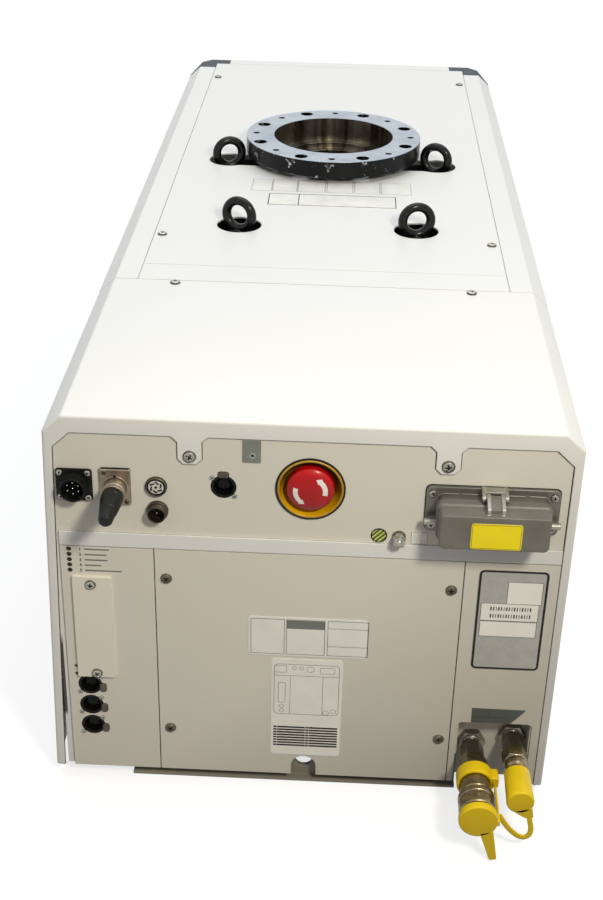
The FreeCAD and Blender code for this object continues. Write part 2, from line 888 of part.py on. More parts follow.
def right_panel():
    body = box((side_edge, panel_edge), (front, front + sheet), (lower_panel_bottom, lower_panel_top))
    low = lower_panel_bottom - recess_sill
    size = (recess[1] - recess[0], recess_rise - low)
    middle = (recess[0] + recess[1]) / 2
    opening = rounded(middle, (recess_rise + low) / 2, size, (front - 1, front + sheet + 1), 5.0)
    return body.cut(opening)


def slot_cover():
    """The raised blank plate over the option slot, with an open-ended screw slot at its foot."""
    z = slot_plate_z
    y = (front - slot_plate_wall, front)
    plate = rounded(slot_plate_x, z, slot_plate, y, 1.5)
    low = slot_screws[1][1]
    x = slot_screws[1][0]
    cuts = [screw_hole((x, front, slot_screws[0][1]), forward)]
    cuts.append(bar_y(x, low, (front - 4, front + 1), 3.4))
    cuts.append(box((x - 3.4, x + 3.4), (front - 4, front + 1), (z - slot_plate[1], low)))
    return plate.cut(cuts)


def cover_screws():
    """Every pan-head screw that shows, one solid each."""
    screws = [pan_screw(p, up) for p in roof_screws + hood_screws]
    screws += [pan_screw(p, forward) for p in tab_screws]
    screws += [pan_screw(p, forward, head=4.6) for p in centre_screws]
    screws += [pan_screw(p, (s, 0, 0)) for s in (-1, 1) for p in side_screws(s)]
    for k, (x, z) in enumerate(flange_screws()):
        out = 3.0 if k < 4 else power_flange_thickness
        screws.append(pan_screw((x, front + sheet - out, z), forward, head=2.9))
    screws += [pan_screw((x, front - slot_plate_wall, z), forward, head=4.4) for x, z in slot_screws]
    for k in range(4):
        size = {"head": latch_screw_head, "length": 4.5, "radius": latch_screw_radius}
        screws += [pan_screw(p, forward, **size) for p in latch_screws(k)]
    return Part.makeCompound(screws)


def pin_socket_body():
    """The black square flange with its round shell, insert and seven pins."""
    x, drop = pin_socket
    z = top - drop
    flange = rounded(x, z, (pin_flange, pin_flange), (front - 1.0, front + sheet), 3.0)
    shell = tube_y(x, z, (front - 12.0, front - 0.5), 11.8, 9.8)
    back = bar_y(x, z, (front + sheet - 0.5, front + 32.0), 12.0)
    core = fuse([flange, shell, back]).cut(bar_y(x, z, (front - 13, front + 6.0), 9.8))
    pin_y = (front - 8.0, front + 8.0)
    pins = [bar_y(x, z, pin_y, 0.9)]
    for k in range(6):
        turn = math.radians(60 * k + 30)
        pins.append(bar_y(x + 5.6 * math.cos(turn), z + 5.6 * math.sin(turn), pin_y, 0.9))
    body = fuse([core] + pins)
    return body.cut([screw_hole((a, front, b), forward) for a, b in flange_screws()[:4]])


def plug_socket_body():
    """The nickel-plated flange that the interlock plug sits in."""
    x, drop = plug_socket
    z = top - plug_axis_drop
    flange = rounded(x, top - drop, plug_flange, (front - 1.0, front + sheet), 1.2)
    back = tube_y(x, z, (front + sheet - 0.5, front + 34.0), plug_radius + 1.4, plug_radius + fit_gap)
    cap = bar_y(x, z, (front + 32.0, front + 34.0), plug_radius + 1.0)
    return fuse([flange, back, cap]).cut(bar_y(x, z, (front - 2, front + 32.0), plug_radius + fit_gap))


def interlock_plug():
    """A plug with a plain metal barrel and a stepped rubber boot, with no cable."""
    x = plug_socket[0]
    z = top - plug_axis_drop
    nose = bar_y(x, z, (front - 10.6, front + 16.0), plug_radius)
    collar = bar_y(x, z, (front - 29.0, front - 10.6), plug_radius + 0.2)
    boot = cone((x, front - 29.0, z), (x, front - plug_reach, z), plug_radius - 0.4, 6.4)
    tip = bar_y(x, z, (front - plug_reach - 1.6, front - plug_reach), 4.6)
    return fuse([nose, collar, boot, tip])


def round_socket_bodies():
    """Two small round sockets: one closed by its contact insert, one with a threaded ring."""
    (x1, d1), (x2, d2) = round_sockets
    z1 = top - d1
    z2 = top - d2
    outer = tube_y(x1, z1, (front - 1.5, front + sheet), round_radius, 8.0)
    back = bar_y(x1, z1, (front + sheet, front + 22.0), round_radius - 2.3)
    insert = bar_y(x1, z1, (front + 1.0, front + sheet + 0.5), 8.2)
    first = fuse([outer, back, insert])
    nut = tube_y(x2, z2, (front - 2.0, front + sheet), round_radius, 6.6)
    barrel = tube_y(x2, z2, (front - 8.0, front + 24.0), 8.2, 5.6)
    floor = bar_y(x2, z2, (front + 6.0, front + 24.0), 6.0)
    second = fuse([nut, barrel, floor])
    return Part.makeCompound([first, second])


def latch_place(k):
    """Centre of one latch socket and the plane it is fixed on: the upper one first, then the lower three."""
    if k == 0:
        return upper_latch[0], top - upper_latch[1], front + 2 * sheet
    x, z = lower_latch(k - 1)
    return x, z, front + sheet


def latch_tab_block(k, y, margin):
    """The outline of a push tab, above the upper socket and at the right of the turned lower ones."""
    x, z, _ = latch_place(k)
    width, height = latch_tab[0] + 2 * margin, latch_tab[1] + 2 * margin
    if k == 0:
        return rounded(x, z + latch_tab_reach, (height, width), y, latch_tab_corner + margin)
    return rounded(x + latch_tab_reach, z - latch_tab_drop, (width, height), y, latch_tab_corner + margin)


def latch_screws(k):
    """The two small screws of a latch socket, on opposite corners, as points on its panel."""
    x, z, back = latch_place(k)
    lean = -1 if k == 0 else 1
    across, high = latch_screw
    return [(x + s * lean * across, back - sheet, z + s * high) for s in (1, -1)]


def latch_screw_holes(k):
    return [screw_hole(p, forward, 5.0, latch_screw_radius) for p in latch_screws(k)]


def latch_socket(k):
    """A round latching socket: a shell behind the panel, open to the front, in a square housing."""
    x, z, y0 = latch_place(k)
    shell = tube_y(x, z, (y0 - sheet, y0 + latch_depth), latch_radius, latch_bore)
    floor = bar_y(x, z, (y0 + latch_depth - 0.5, y0 + latch_length), latch_radius)
    side = 2 * latch_body
    housing = rounded(x, z, (side, side), (y0, y0 + latch_length), 1.0)
    holder = latch_tab_block(k, (y0, y0 + 10.0), latch_tab_wall + fit_gap)
    pocket = latch_tab_block(k, (y0 - 3, y0 + 8.0), fit_gap)
    mouth = bar_y(x, z, (y0 - sheet - 1, y0 + latch_depth - 0.5), latch_bore)
    body = fuse([shell, floor, housing, holder])
    return body.cut([pocket, mouth] + latch_screw_holes(k))


def latch_push_tab(k):
    """The push tab of one latch socket, standing a little proud of the panel."""
    y0 = latch_place(k)[2]
    return latch_tab_block(k, (y0 - sheet - 1.4, y0 + 5.0), 0.0)


def stop_collar():
    """The yellow bowl of the emergency stop, with its rim, gasket and the contact block behind."""
    z = top - stop_drop
    back = front + stop_depth
    rim = bar_y(stop_x, z, (front + 0.4, front + sheet), stop_radius)
    wall = cone((stop_x, front + sheet, z), (stop_x, back, z), stop_bowl, stop_bowl - 4)
    block = box((stop_x - 20, stop_x + 20), (back, front + 50.0), (z - 20, z + 20))
    bowl = cone((stop_x, front, z), (stop_x, back - 2.5, z), stop_bowl - 0.4, stop_bowl - 6)
    well = bar_y(stop_x, z, (front, front + 40.0), stop_stem + fit_gap)
    return fuse([rim, wall, block]).cut([bowl, well])


def stop_plunger():
    """The part that travels in and out: a stem in the block, with a collar behind the head."""
    z = top - stop_drop
    stem = bar_y(stop_x, z, (front + 10.0, front + 34.0), stop_stem)
    spigot = bar_y(stop_x, z, (front + 4.0, front + 10.5), 5.0)
    return fuse([stem, spigot])


def stop_button():
    """The red mushroom head, which turns on the plunger to release it."""
    z = top - stop_drop
    crown = front - 3.0
    rim = bar_y(stop_x, z, (front + 1.0, front + 9.5), stop_head)
    dome = cone((stop_x, front + 1.0, z), (stop_x, crown, z), stop_head, stop_head - 5)
    socket = bar_y(stop_x, z, (front + 3.5, front + 12.0), 5.0 + fit_gap)
    return fuse([rim, dome]).cut(socket)


def earth_fittings():
    """The earth stud with its washer and two nuts, and the small wire tab under the bezel."""
    x, drop = earth_stud_place
    z = top - drop
    face = front + sheet
    out, back = earth_stud_reach
    stud = bar_y(x, z, (front - out, front + back), earth_stud_radius)
    wide, thick = earth_washer
    washer = tube_y(x, z, (face - thick, face), wide, earth_stud_radius)
    nuts = [hexagon(x, z, (front - earth_nut_reach, face - thick), earth_nut).cut(stud)]
    low, high = earth_second_nut
    nuts.append(hexagon(x, z, (front - high, front - low), earth_nut).cut(stud))
    tab_z = (top - wire_tab_drop, top - bezel_top - 2 * fit_gap)
    tab = box(wire_tab, (face - wire_tab_wall, face), tab_z)
    hole_x, drop = wire_tab_hole
    tab = tab.cut(bar_y(hole_x, top - drop, (front - 1, face + 1), wire_tab_hole_radius))
    return Part.makeCompound([stud, washer, tab] + nuts)


def power_socket_base():
    """The die-cast base of the power socket: flange, raised collar, side pegs and hinge ears."""
    z = top - power_drop
    outer = front + sheet
    flange_y = (outer - power_flange_thickness, outer)
    flange = rounded(power_x, z, power_base, flange_y, power_flange_corner)
    collar_y = (outer - power_collar_depth, outer - 1)
    collar = rounded(power_x, z, power_collar, collar_y, power_collar_corner)
    size = [side - 2 * fit_gap for side in power_cut]
    back = rounded(power_x, z, size, (outer - 1, outer + power_body_length), power_cut_corner)
    reach = power_collar[0] / 2
    axis = (front - hinge_out, top - hinge_drop)
    peg_radius, peg_length = power_peg
    out, drop = power_peg_place
    pegs = []
    ears = []
    for s in (-1, 1):
        peg = (power_x + s * (reach - 2), power_x + s * (reach + peg_length))
        pegs.append(rod((peg[0], front - out, z - drop), (peg[1], front - out, z - drop), peg_radius))
        x = sorted(power_x + s * a for a in hinge_ear_span)
        ears.append(box(x, (axis[0], outer - 1), (axis[1] - hinge_ear, axis[1] + hinge_ear)))
        ears.append(rod((x[0],) + axis, (x[1],) + axis, hinge_ear))
    inner = [side - wall for side, wall in zip(power_collar, power_walls)]
    cavity = rounded(power_x, z, inner, (outer - 20, outer + power_cavity_length), 3.0)
    pin_way = rod((power_x - 20,) + axis, (power_x + 20,) + axis, hinge_pin)
    body = fuse([flange, collar, back] + pegs + ears).cut([cavity, pin_way])
    return body.cut([screw_hole((a, front, b), forward, 8.0) for a, b in flange_screws()[4:]])


def power_insert():
    """The contact insert inside the power socket, with two rows of contact slots."""
    z = top - power_drop
    size = [side - wall - 2 * fit_gap for side, wall in zip(power_collar, power_walls)]
    body = rounded(power_x, z, size, (front + 4.0, front + power_cavity_length), 2.5)
    slots = []
    for row in (-5.0, 5.0):
        for k in range(8):
            x = power_x - 31.5 + 9.0 * k
            slots.append(box((x - 2.0, x + 2.0), (front + 3, front + 14.0), (z + row - 1.2, z + row + 1.2)))
    return body.cut(slots)


def power_lid():
    """The hinged lid of the power socket, a hollow cover with two hinge arms and a finger tab."""
    z = top - power_drop
    back = front + sheet - power_collar_depth - 0.4
    face = back - power_lid_depth
    wide, high = power_collar[0] + 1.5, power_collar[1] + 5.0
    shell = rounded(power_x, z - 2.0, (wide, high), (face, back), 7.0)
    hollow = (wide - 2 * power_lid_wall, high - 2 * power_lid_wall)
    inner = rounded(power_x, z - 2.0, hollow, (face + power_lid_wall, back + 1), 4.5)
    pin_z = top - hinge_drop
    pin_y = front - hinge_out
    arms = []
    for s in (-1, 1):
        x = sorted((power_x + s * 4.6, power_x + s * 7.9))
        arm = box(x, (face + 4.0, pin_y), (z + 8, pin_z + 3.0))
        knuckle = rod((x[0], pin_y, pin_z), (x[1], pin_y, pin_z), 4.0)
        arms += [arm, knuckle]
    tab = box((power_x - 9, power_x + 9), (back - 5.0, back - 1.5), (z - high / 2 - 7.0, z - high / 2 + 0.5))
    lid = fuse([shell] + arms + [tab])
    pin_way = rod((power_x - 9, pin_y, pin_z), (power_x + 9, pin_y, pin_z), hinge_pin + 0.05)
    clear = box((power_x - 12, power_x + 12), (pin_y + 3.7, front), (pin_z - 9, pin_z + 9))
    return lid.cut([inner, pin_way, clear])


def hinge_rod():
    """The steel pin of the lid's hinge."""
    y = front - hinge_out
    z = top - hinge_drop
    return rod((power_x - hinge_pin_half, y, z), (power_x + hinge_pin_half, y, z), hinge_pin)


def status_lights():
    lenses = []
    for k in range(lights):
        z = top - light_drop - light_pitch * k
        lens = bar_y(light_x, z, (front - 0.3, front + 5.0), light_radius)
        rear_flange = bar_y(light_x, z, (front + sheet, front + 5.0), light_radius + 0.5)
        lenses.append(fuse([lens, rear_flange]))
    return Part.makeCompound(lenses)


def blank_plates():
    """Thin bare plates where the real pump is labelled, and the round earth disc."""
    y = (front - film, front)
    rating_plate = (panel_edge - rating_inset, rating_drop) + rating_size
    plates = []
    for x, drop, width, height in (notice_plate, diagram_plate, rating_plate):
        plates.append(rounded(x, top - drop, (width, height), y, plate_corner))
    tag = [(panel_edge - inset, top - drop) for inset, drop in dark_tag]
    plates.append(prism(tag, "y", front - film, front))
    y = (front + sheet - film, front + sheet)
    tag_x = tuple(power_x - offset for offset in bare_tag)
    plates.append(box(tag_x, y, tuple(top - drop for drop in bare_tag_drops)))
    x, drop = earth_disc_place
    plates.append(bar_y(x, top - drop, y, earth_disc))
    row = tuple(inlet_y - before for before in roof_cells_before)
    for cell in roof_cells:
        plates.append(box(cell, row, (top, top + film)))
    row = tuple(inlet_y - before for before in roof_band_before)
    plates.append(box(roof_band, row, (top, top + film)))
    return Part.makeCompound(plates)


def water_pan():
    """The recessed pan that holds the two water bulkhead fittings."""
    y = front + pan_setback
    low = rail_wall
    x = (recess[0] - pan_margin, recess[1] + pan_margin)
    back = box(x, (y, y + sheet), (low, pan_height))
    roof = box(x, (front + sheet, y + sheet), (pan_height - sheet, pan_height))
    left = box((x[0], x[0] + sheet), (front + sheet, y + sheet), (toe_beam_rise + 1, pan_height))
    right = box((x[1] - sheet, x[1]), (front + sheet, y + sheet), (lower_panel_bottom, pan_height))
    hole_y = (y - 1, y + sheet + 1)
    holes = [bar_y(px, top - drop, hole_y, bulkhead_bore) for px, drop in (left_water, right_water)]
    return fuse([back, roof, left, right]).cut(holes)


def water_union(x, z, flats, steps, radius):
    """A union through the pan's wall: nuts on both sides, an adapter, a union nut and a round end."""
    wall = front + pan_setback
    inside = wall + sheet
    adapter, union, barrel, end = steps
    shapes = [
        hexagon(x, z, (wall - bulkhead_nut, wall), flats[0]),
        bar_y(x, z, (front + adapter - 0.5, inside + 1), union_pipe),
        hexagon(x, z, (front - union, front + adapter), flats[1]),
        hexagon(x, z, (front - barrel, front - union), flats[2]),
        bar_y(x, z, (front - end, front - barrel + 1), radius),
        hexagon(x, z, (inside, inside + bulkhead_nut), flats[0]),
        bar_y(x, z, (inside, inside + union_tail), hose_bore - 0.1),
    ]
    return fuse(shapes)


def water_fittings():
    """Both water unions, with a socket coupling on the left and a nipple on the right."""
    x, drop = left_water
    first = water_union(x, top - drop, left_flats, left_steps, coupling_body)
    socket = bar_y(x, top - drop, (front - left_steps[3] - 1, front - coupling_bore_start), coupling_bore)
    x, drop = right_water
    second = water_union(x, top - drop, right_flats, right_steps, nipple_radius)
    return Part.makeCompound([first.cut(socket), second])


def coupling_sleeve():
    x, drop = left_water
    ring = tube_y(x, top - drop, (front - 84, front - 62), 17.5, 14.5)
    groove = tube_y(x, top - drop, (front - 72, front - 69), 19.0, 16.9)
    return ring.cut(groove)


def dust_plug():
    """The yellow plug of the left coupling: stem, disc, ear and a free pull tail."""
    x, drop = left_water
    z = top - drop
    face = front - 86.4
    disc = bar_y(x, z, (face - 8.0, face), 18.2)
    stem = bar_y(x, z, (face - 1, front - 52), 8.6)
    ear = box((x + 12, x + 20.6), (face - 3.6, face), (z - 8, z - 2))
    tail = [(x + 4, z - 15), (x + 13, z - 12), (x + 20.5, 3.6), (x + 13.5, 2.4)]
    return fuse([disc, stem, ear, prism(tail, "y", face - 8.0, face - 5.8)])


def dust_cap():
    """The yellow cap of the right nipple, with the root of its strap."""
    x, drop = right_water
    z = top - drop
    face = front - 78
    cup = bar_y(x, z, (face, front - 36), 13.0).cut(bar_y(x, z, (front - 70.5, front - 35), 8.4))
    root = [(x - 6, z - 11), (x + 11.5, z - 6), (x + 13.6, z - 17), (x + 5.6, z - 18)]
    return fuse([cup, prism(root, "y", face, face + 2.2)])


def ribbon(points, width, y):
    """A flat strap facing the front: straight stretches with round joints."""
    shapes = []
    for (x0, z0), (x1, z1) in zip(points, points[1:]):
        run = math.hypot(x1 - x0, z1 - z0)
        nx = -(z1 - z0) / run * width / 2
        nz = (x1 - x0) / run * width / 2
        side = [(x0 + nx, z0 + nz), (x1 + nx, z1 + nz), (x1 - nx, z1 - nz), (x0 - nx, z0 - nz)]
        shapes.append(prism(side, "y", y[0], y[1]))
    for x, z in points[1:-1]:
        shapes.append(bar_y(x, z, y, width / 2))
    return fuse(shapes)


def plug_strap():
    """The ring round the left coupling, with its lug and the band that runs to the plug."""
    x, drop = left_water
    z = top - drop
    ring = tube_y(x, z, (front - 45, front - 30), 17.5, 14.6)
    lug = box((x + 15.5, x + 22.0), (front - 45, front - 31), (z - 3, z + 9))
    band = box((x + 18.4, x + 20.6), (front - 86.2, front - 44), (z - 8, z - 2))
    link = box((x + 18.4, x + 20.6), (front - 45, front - 38), (z - 8, z))
    return fuse([ring, lug, link, band]).cut(bar_y(x, z, (front - 46, front - 29), 14.6))


def cap_strap():
    """The strap that hangs from the plug strap's band and rises to the cap."""
    x, drop = left_water
    z = top - drop
    cx = right_water[0]
    cz = top - right_water[1]
    points = [(x + 20.8, z - 6), (x + 31, z - 23), (x + 42, z - 33), (x + 50, z - 32), (x + 52, z - 22)]
    points.append((cx + 9.74, cz - 18.18))
    strap = ribbon(points, 5.0, (front - 78, front - 75.8))
    return strap.cut(box((x, x + 20.6 + fit_gap), (front - 80, front - 70), (0, z)))


def hose(points, radii):
    """A hose of straight runs joined by tangent arcs, swept as a solid and then bored."""
    knots = [Vector(*p) for p in points]
    edges = []
    start = knots[0]
    for k in range(1, len(knots) - 1):
        into = (knots[k - 1] - knots[k]).normalize()
        out = (knots[k + 1] - knots[k]).normalize()
        half_turn = (math.pi - into.getAngle(out)) / 2
        reach = radii[k - 1] * math.tan(half_turn)
        first = knots[k] + into * reach
        last = knots[k] + out * reach
        bisector = (into + out).normalize()
        centre = knots[k] + bisector * (radii[k - 1] / math.cos(half_turn))
        middle = centre - bisector * radii[k - 1]
        edges.append(Part.LineSegment(start, first).toShape())
        edges.append(Part.Arc(first, middle, last).toShape())
        start = last
    edges.append(Part.LineSegment(start, knots[-1]).toShape())
    path = Part.Wire(edges)

    def sweep(radius):
        ring = Part.Wire(Part.makeCircle(radius, knots[0], knots[1] - knots[0]))
        return path.makePipeShell([ring], True, False)

    return sweep(hose_radius).cut(sweep(hose_bore))


def water_port(k):
    """Where a hose meets the front end plate."""
    return port_x, plate_bottom + port_rise + port_pitch * k


def cooling_hoses():
    begin = front + pan_setback + sheet + hose_start
    hoses = []
    for k, (x, drop) in enumerate((left_water, right_water)):
        px, pz = water_port(k)
        z = top - drop
        bend = plate_front - hose_bend_lead
        end = plate_front - port_length / 2
        points = [(x, begin, z), (x, bend, z), (px, plate_front - port_lead, pz), (px, end, pz)]
        hoses.append(hose(points, hose_bend_radii))
    return Part.makeCompound(hoses)


def stator():
    """The cast casing: two meeting bores, gas passages, eye bosses and the relief valve block."""
    middle = (casing_top + casing_bottom) / 2
    y = (chamber_front, chamber_back)
    wide = 2 * casing_half
    high = casing_top - casing_bottom
    body = rounded(0, middle, (wide, high), y, casing_round)
    neck = bar_z(0, inlet_y, (outlet_face, casing_bottom + 10), outlet_neck)
    flange = bar_z(0, inlet_y, (outlet_face, outlet_face + outlet_thickness), outlet_radius)
    shapes = [body, neck, flange]
    for share in (0.18, 0.82):
        rib = chamber_front + share * rotor_length
        rib_y = (rib - rib_height, rib + rib_height)
        shapes.append(rounded(0, middle, (wide + 2 * rib_height, high), rib_y, casing_round))
    for side in (-1, 1):
        x = side * rear_eye[0]
        ey = front + rear_eye[1]
        shapes.append(bar_z(x, ey, (casing_top - 60, top - rear_boss_drop), eye_boss))
        web = sorted((x, side * (casing_half - 34)))
        shapes.append(box(web, (ey - 8, ey + 8), (casing_top - 30, casing_top + 20)))
    vy = inlet_y + valve_back
    block_half = valve_block / 2
    block = (casing_half - 8, valve_x + valve_bore + 9)
    shapes.append(box(block, (vy - block_half, vy + block_half), (casing_bottom, casing_top)))
    solid = fuse(shapes)
    cuts = [
        bar_y(drive_x, shaft_height, y, chamber_radius),
        bar_y(driven_x, shaft_height, y, chamber_radius),
        bar_z(0, inlet_y, (shaft_height, casing_top + 1), inlet_step_bore),
        bar_z(0, inlet_y, (outlet_face - 1, shaft_height), outlet_bore),
        bar_z(0, inlet_y, (outlet_face - 1, outlet_face + outlet_recess_depth), outlet_recess),
        bar_z(valve_x, vy, (valve_seat_height + valve_seat_wall, casing_top + 1), valve_bore),
        bar_z(valve_x, vy, (casing_bottom + 7, valve_seat_height), valve_bore - 4),
        bar_z(valve_x, vy, (valve_seat_height - 1, valve_seat_height + valve_seat_wall + 1), valve_seat_hole),
    ]
    low_port = casing_bottom + 18
    high_port = casing_top - 17
    cuts.append(rod((valve_x, vy, low_port), (30, inlet_y + 20, low_port), valve_port))
    cuts.append(rod((valve_x, vy, high_port), (40, inlet_y + 20, high_port), valve_port))
    for x, hy in on_circle(outlet_circle / 2, flange_holes, 22.5):
        cuts.append(bar_z(x, hy, (outlet_face - 1, outlet_face + outlet_thickness + 1), outlet_hole))
    for x, hy in on_circle((foot_radius + neck_radius) / 2, flange_holes, 0):
        cuts.append(bar_z(x, hy, (casing_top - 14, casing_top + 1), 4.0))
    for side in (-1, 1):
        cuts.append(bar_z(side * rear_eye[0], front + rear_eye[1], (top - 50, top), eye_shank))
    return solid.cut(cuts)


def inlet_flange():
    """The bolted inlet neck: machined flange face, stepped bore and its foot on the casing."""
    face = top + flange_face
    disc = bar_z(0, inlet_y, (face - flange_thickness, face), flange_radius)
    neck = bar_z(0, inlet_y, (casing_top, face - 1), neck_radius)
    foot = bar_z(0, inlet_y, (casing_top, casing_top + foot_thickness), foot_radius)
    step = face - inlet_bore_depth
    cuts = [
        bar_z(0, inlet_y, (step, face + 1), inlet_bore),
        bar_z(0, inlet_y, (step - inlet_step_depth, face), inlet_step_bore),
        bar_z(0, inlet_y, (casing_top - 1, face), inlet_throat),
    ]
    circle = flange_circle / 2
    for x, y in on_circle(circle, flange_holes, 22.5):
        cuts.append(bar_z(x, y, (face - flange_thickness - 1, face + 1), flange_large_hole))
    for x, y in on_circle(circle, flange_holes, 0):
        cuts.append(bar_z(x, y, (face - flange_thickness - 1, face + 1), flange_small_hole))
    for x, y in on_circle((foot_radius + neck_radius) / 2, flange_holes, 0):
        cuts.append(bar_z(x, y, (casing_top - 1, casing_top + foot_thickness + 1), 4.25))
    return fuse([disc, neck, foot]).cut(cuts)


def end_plate_blank(y):
    middle = (casing_top + plate_bottom) / 2
    return rounded(0, middle, (2 * casing_half, casing_top - plate_bottom), y, 24.0)


def shaft_ways(inner, outer):
    """Bores through an end plate: shaft hole, seal seat next to the chamber and bearing seat outside."""
    sign = 1 if outer > inner else -1
    cuts = []
    for x in (drive_x, driven_x):
        cuts.append(bar_y(x, shaft_height, sorted((inner - sign, outer + sign)), shaft_radius + 0.6))
        seat = inner + sign * 6
        cuts.append(bar_y(x, shaft_height, sorted((seat, outer + sign)), seal_outer))
        seat = outer - sign * bearing_width
        cuts.append(bar_y(x, shaft_height, sorted((seat, outer + sign)), bearing_outer))
    return cuts


def front_end_plate():
    """The drive-side end plate with the motor bell and the bridge that carries the front lifting eyes."""
    plate = end_plate_blank((plate_front, chamber_front))
    bell = tube_y(drive_x, shaft_height, (bell_front, plate_front + 1), bell_radius, bell_radius - 14)
    low = front + front_eye[1] - 26
    reach = front_eye[0] + 28
    bridge = box((-reach, reach), (low, plate_front + 1), (casing_top - 30, casing_top + 12))
    shapes = [plate, bell, bridge.cut(bar_y(drive_x, shaft_height, (low - 1, plate_front), bell_radius - 2))]
    for side in (-1, 1):
        boss_z = (casing_top, top - front_boss_drop)
        shapes.append(bar_z(side * front_eye[0], front + front_eye[1], boss_z, eye_boss))
    cuts = shaft_ways(chamber_front, plate_front)
    for side in (-1, 1):
        cuts.append(bar_z(side * front_eye[0], front + front_eye[1], (top - 50, top), eye_shank))
    cover_well = bar_y(driven_x, shaft_height, (plate_front - 1, plate_front), bearing_outer)
    for k in range(2):
        px, pz = water_port(k)
        shapes.append(bar_y(px, pz, (plate_front - port_length, plate_front + 1), hose_bore - 0.1))
    return fuse(shapes).cut(cuts + [cover_well])


def rear_end_plate():
    plate = end_plate_blank((chamber_back, plate_back))
    return plate.cut(shaft_ways(chamber_back, plate_back))


def gear_cover():
    """The oil case over the timing gears."""
    y = (plate_back, plate_back + gear_cover_length)
    wide = 2 * (casing_half - 16)
    high = 200.0
    z = shaft_height + 2
    wall = gear_cover_wall
    outer = rounded(0, z, (wide, high), y, 40.0)
    inner = rounded(0, z, (wide - 2 * wall, high - 2 * wall), (y[0] - 1, y[1] - wall), 32.0)
    glass = bar_y(90.0, z - 45.0, (y[1] - wall - 1, y[1] + 1), 14.0)
    holes = [bar_z(-60.0, y[0] + 60.0, (z + high / 2 - wall - 1, z + high / 2 + 1), 10.0)]
    holes.append(bar_y(0, z - 78.0, (y[1] - wall - 1, y[1] + 1), 8.0))
    return outer.cut([inner, glass] + holes)


def lobe_profile(first_turn):
    """Closed two-lobe outline: outward and inward cycloid arches on the pitch circle, set in by a gap."""
    roll = pitch_radius / 4
    steps = 16
    points = []
    for arch in range(4):
        outward = arch % 2 == 0
        for k in range(steps):
            t = math.pi / 2 * k / steps
            base = first_turn + math.pi / 2 * arch
            if outward:
                big = pitch_radius + roll
                x = big * math.cos(t) - roll * math.cos(big / roll * t)
                y = big * math.sin(t) - roll * math.sin(big / roll * t)
            else:
                big = pitch_radius - roll
                x = big * math.cos(t) + roll * math.cos(big / roll * t)
                y = big * math.sin(t) - roll * math.sin(big / roll * t)
            c, s = math.cos(base), math.sin(base)
            points.append((c * x - s * y, s * x + c * y))
    count = len(points)
    inset = []
    for k in range(count):
        ax, ay = points[k - 1]
        bx, by = points[(k + 1) % count]
        run = math.hypot(bx - ax, by - ay)
        nx, ny = (by - ay) / run, -(bx - ax) / run
        inset.append((points[k][0] - nx * rotor_gap, points[k][1] - ny * rotor_gap))
    return inset


def lobed_rotor(x, tip_turn):
    """One rotor body: the lobed length between the end plates."""
    outline = lobe_profile(tip_turn - math.pi / 4)
    low = inlet_y - rotor_length / 2
    knots = [Vector(x + a, low, shaft_height + b) for a, b in outline]
    curve = Part.BSplineCurve()
    curve.interpolate(Points=knots, PeriodicFlag=True)
    face = Part.Face(Part.Wire(curve.toShape()))
    return face.extrude(Vector(0, rotor_length, 0))


def shaft(x, start, end):
    """A stepped shaft with bearing journals outside both end plates' seals."""
    seat_front = plate_front + bearing_width
    seat_back = plate_back - bearing_width
    middle = bar_y(x, shaft_height, (seat_front, seat_back), shaft_radius)
    ends = bar_y(x, shaft_height, (start, end), journal_radius)
    return [middle, ends]


def drive_rotor():
    return fuse([lobed_rotor(drive_x, 0)] + shaft(drive_x, motor_front + 40, shaft_end))


def driven_rotor():
    return fuse([lobed_rotor(driven_x, math.pi / 2)] + shaft(driven_x, plate_front + 0.5, shaft_end))


def timing_gear(x):
    """A spur gear with involute flanks, worked out tooth by tooth, bored for the shaft."""
    pressure = math.radians(20)
    base = pitch_radius * math.cos(pressure)
    tip = pitch_radius + gear_module
    root = pitch_radius - 1.25 * gear_module
    backlash = 0.1
    half_tooth = math.pi / (2 * gear_teeth) - backlash / pitch_radius
    involute_at_pitch = math.tan(pressure) - pressure
    steps = 4
    flank = []
    for k in range(steps + 1):
        r = max(base, root) + (tip - max(base, root)) * k / steps
        roll = math.sqrt(max((r / base) ** 2 - 1, 0))
        flank.append((r, half_tooth + involute_at_pitch - (roll - math.atan(roll))))
    outline = []
    for tooth in range(gear_teeth):
        centre = 2 * math.pi * tooth / gear_teeth + (0 if x < 0 else math.pi + math.pi / gear_teeth)
        side = [(r, centre - a) for r, a in flank] + [(r, centre + a) for r, a in reversed(flank)]
        outline += [(x + r * math.cos(t), shaft_height + r * math.sin(t)) for r, t in side]
    blank = prism(outline, "y", gear_front, gear_front + gear_width)
    web = tube_y(x, shaft_height, (gear_front - 1, gear_front + 7), 46.0, 30.0)
    hole = bar_y(x, shaft_height, (gear_front - 1, gear_front + gear_width + 1), journal_radius)
    return blank.cut([hole, web])


def bearing_places():
    """Start and end of each bearing along Y, for both shafts."""
    spans = [(plate_front, plate_front + bearing_width), (plate_back - bearing_width, plate_back)]
    return [(x, span) for x in (drive_x, driven_x) for span in spans]


def inner_ring(x):
    rings = []
    for span in (place[1] for place in bearing_places() if place[0] == x):
        rings.append(tube_y(x, shaft_height, span, journal_radius + bearing_wall, journal_radius))
    return Part.makeCompound(rings)


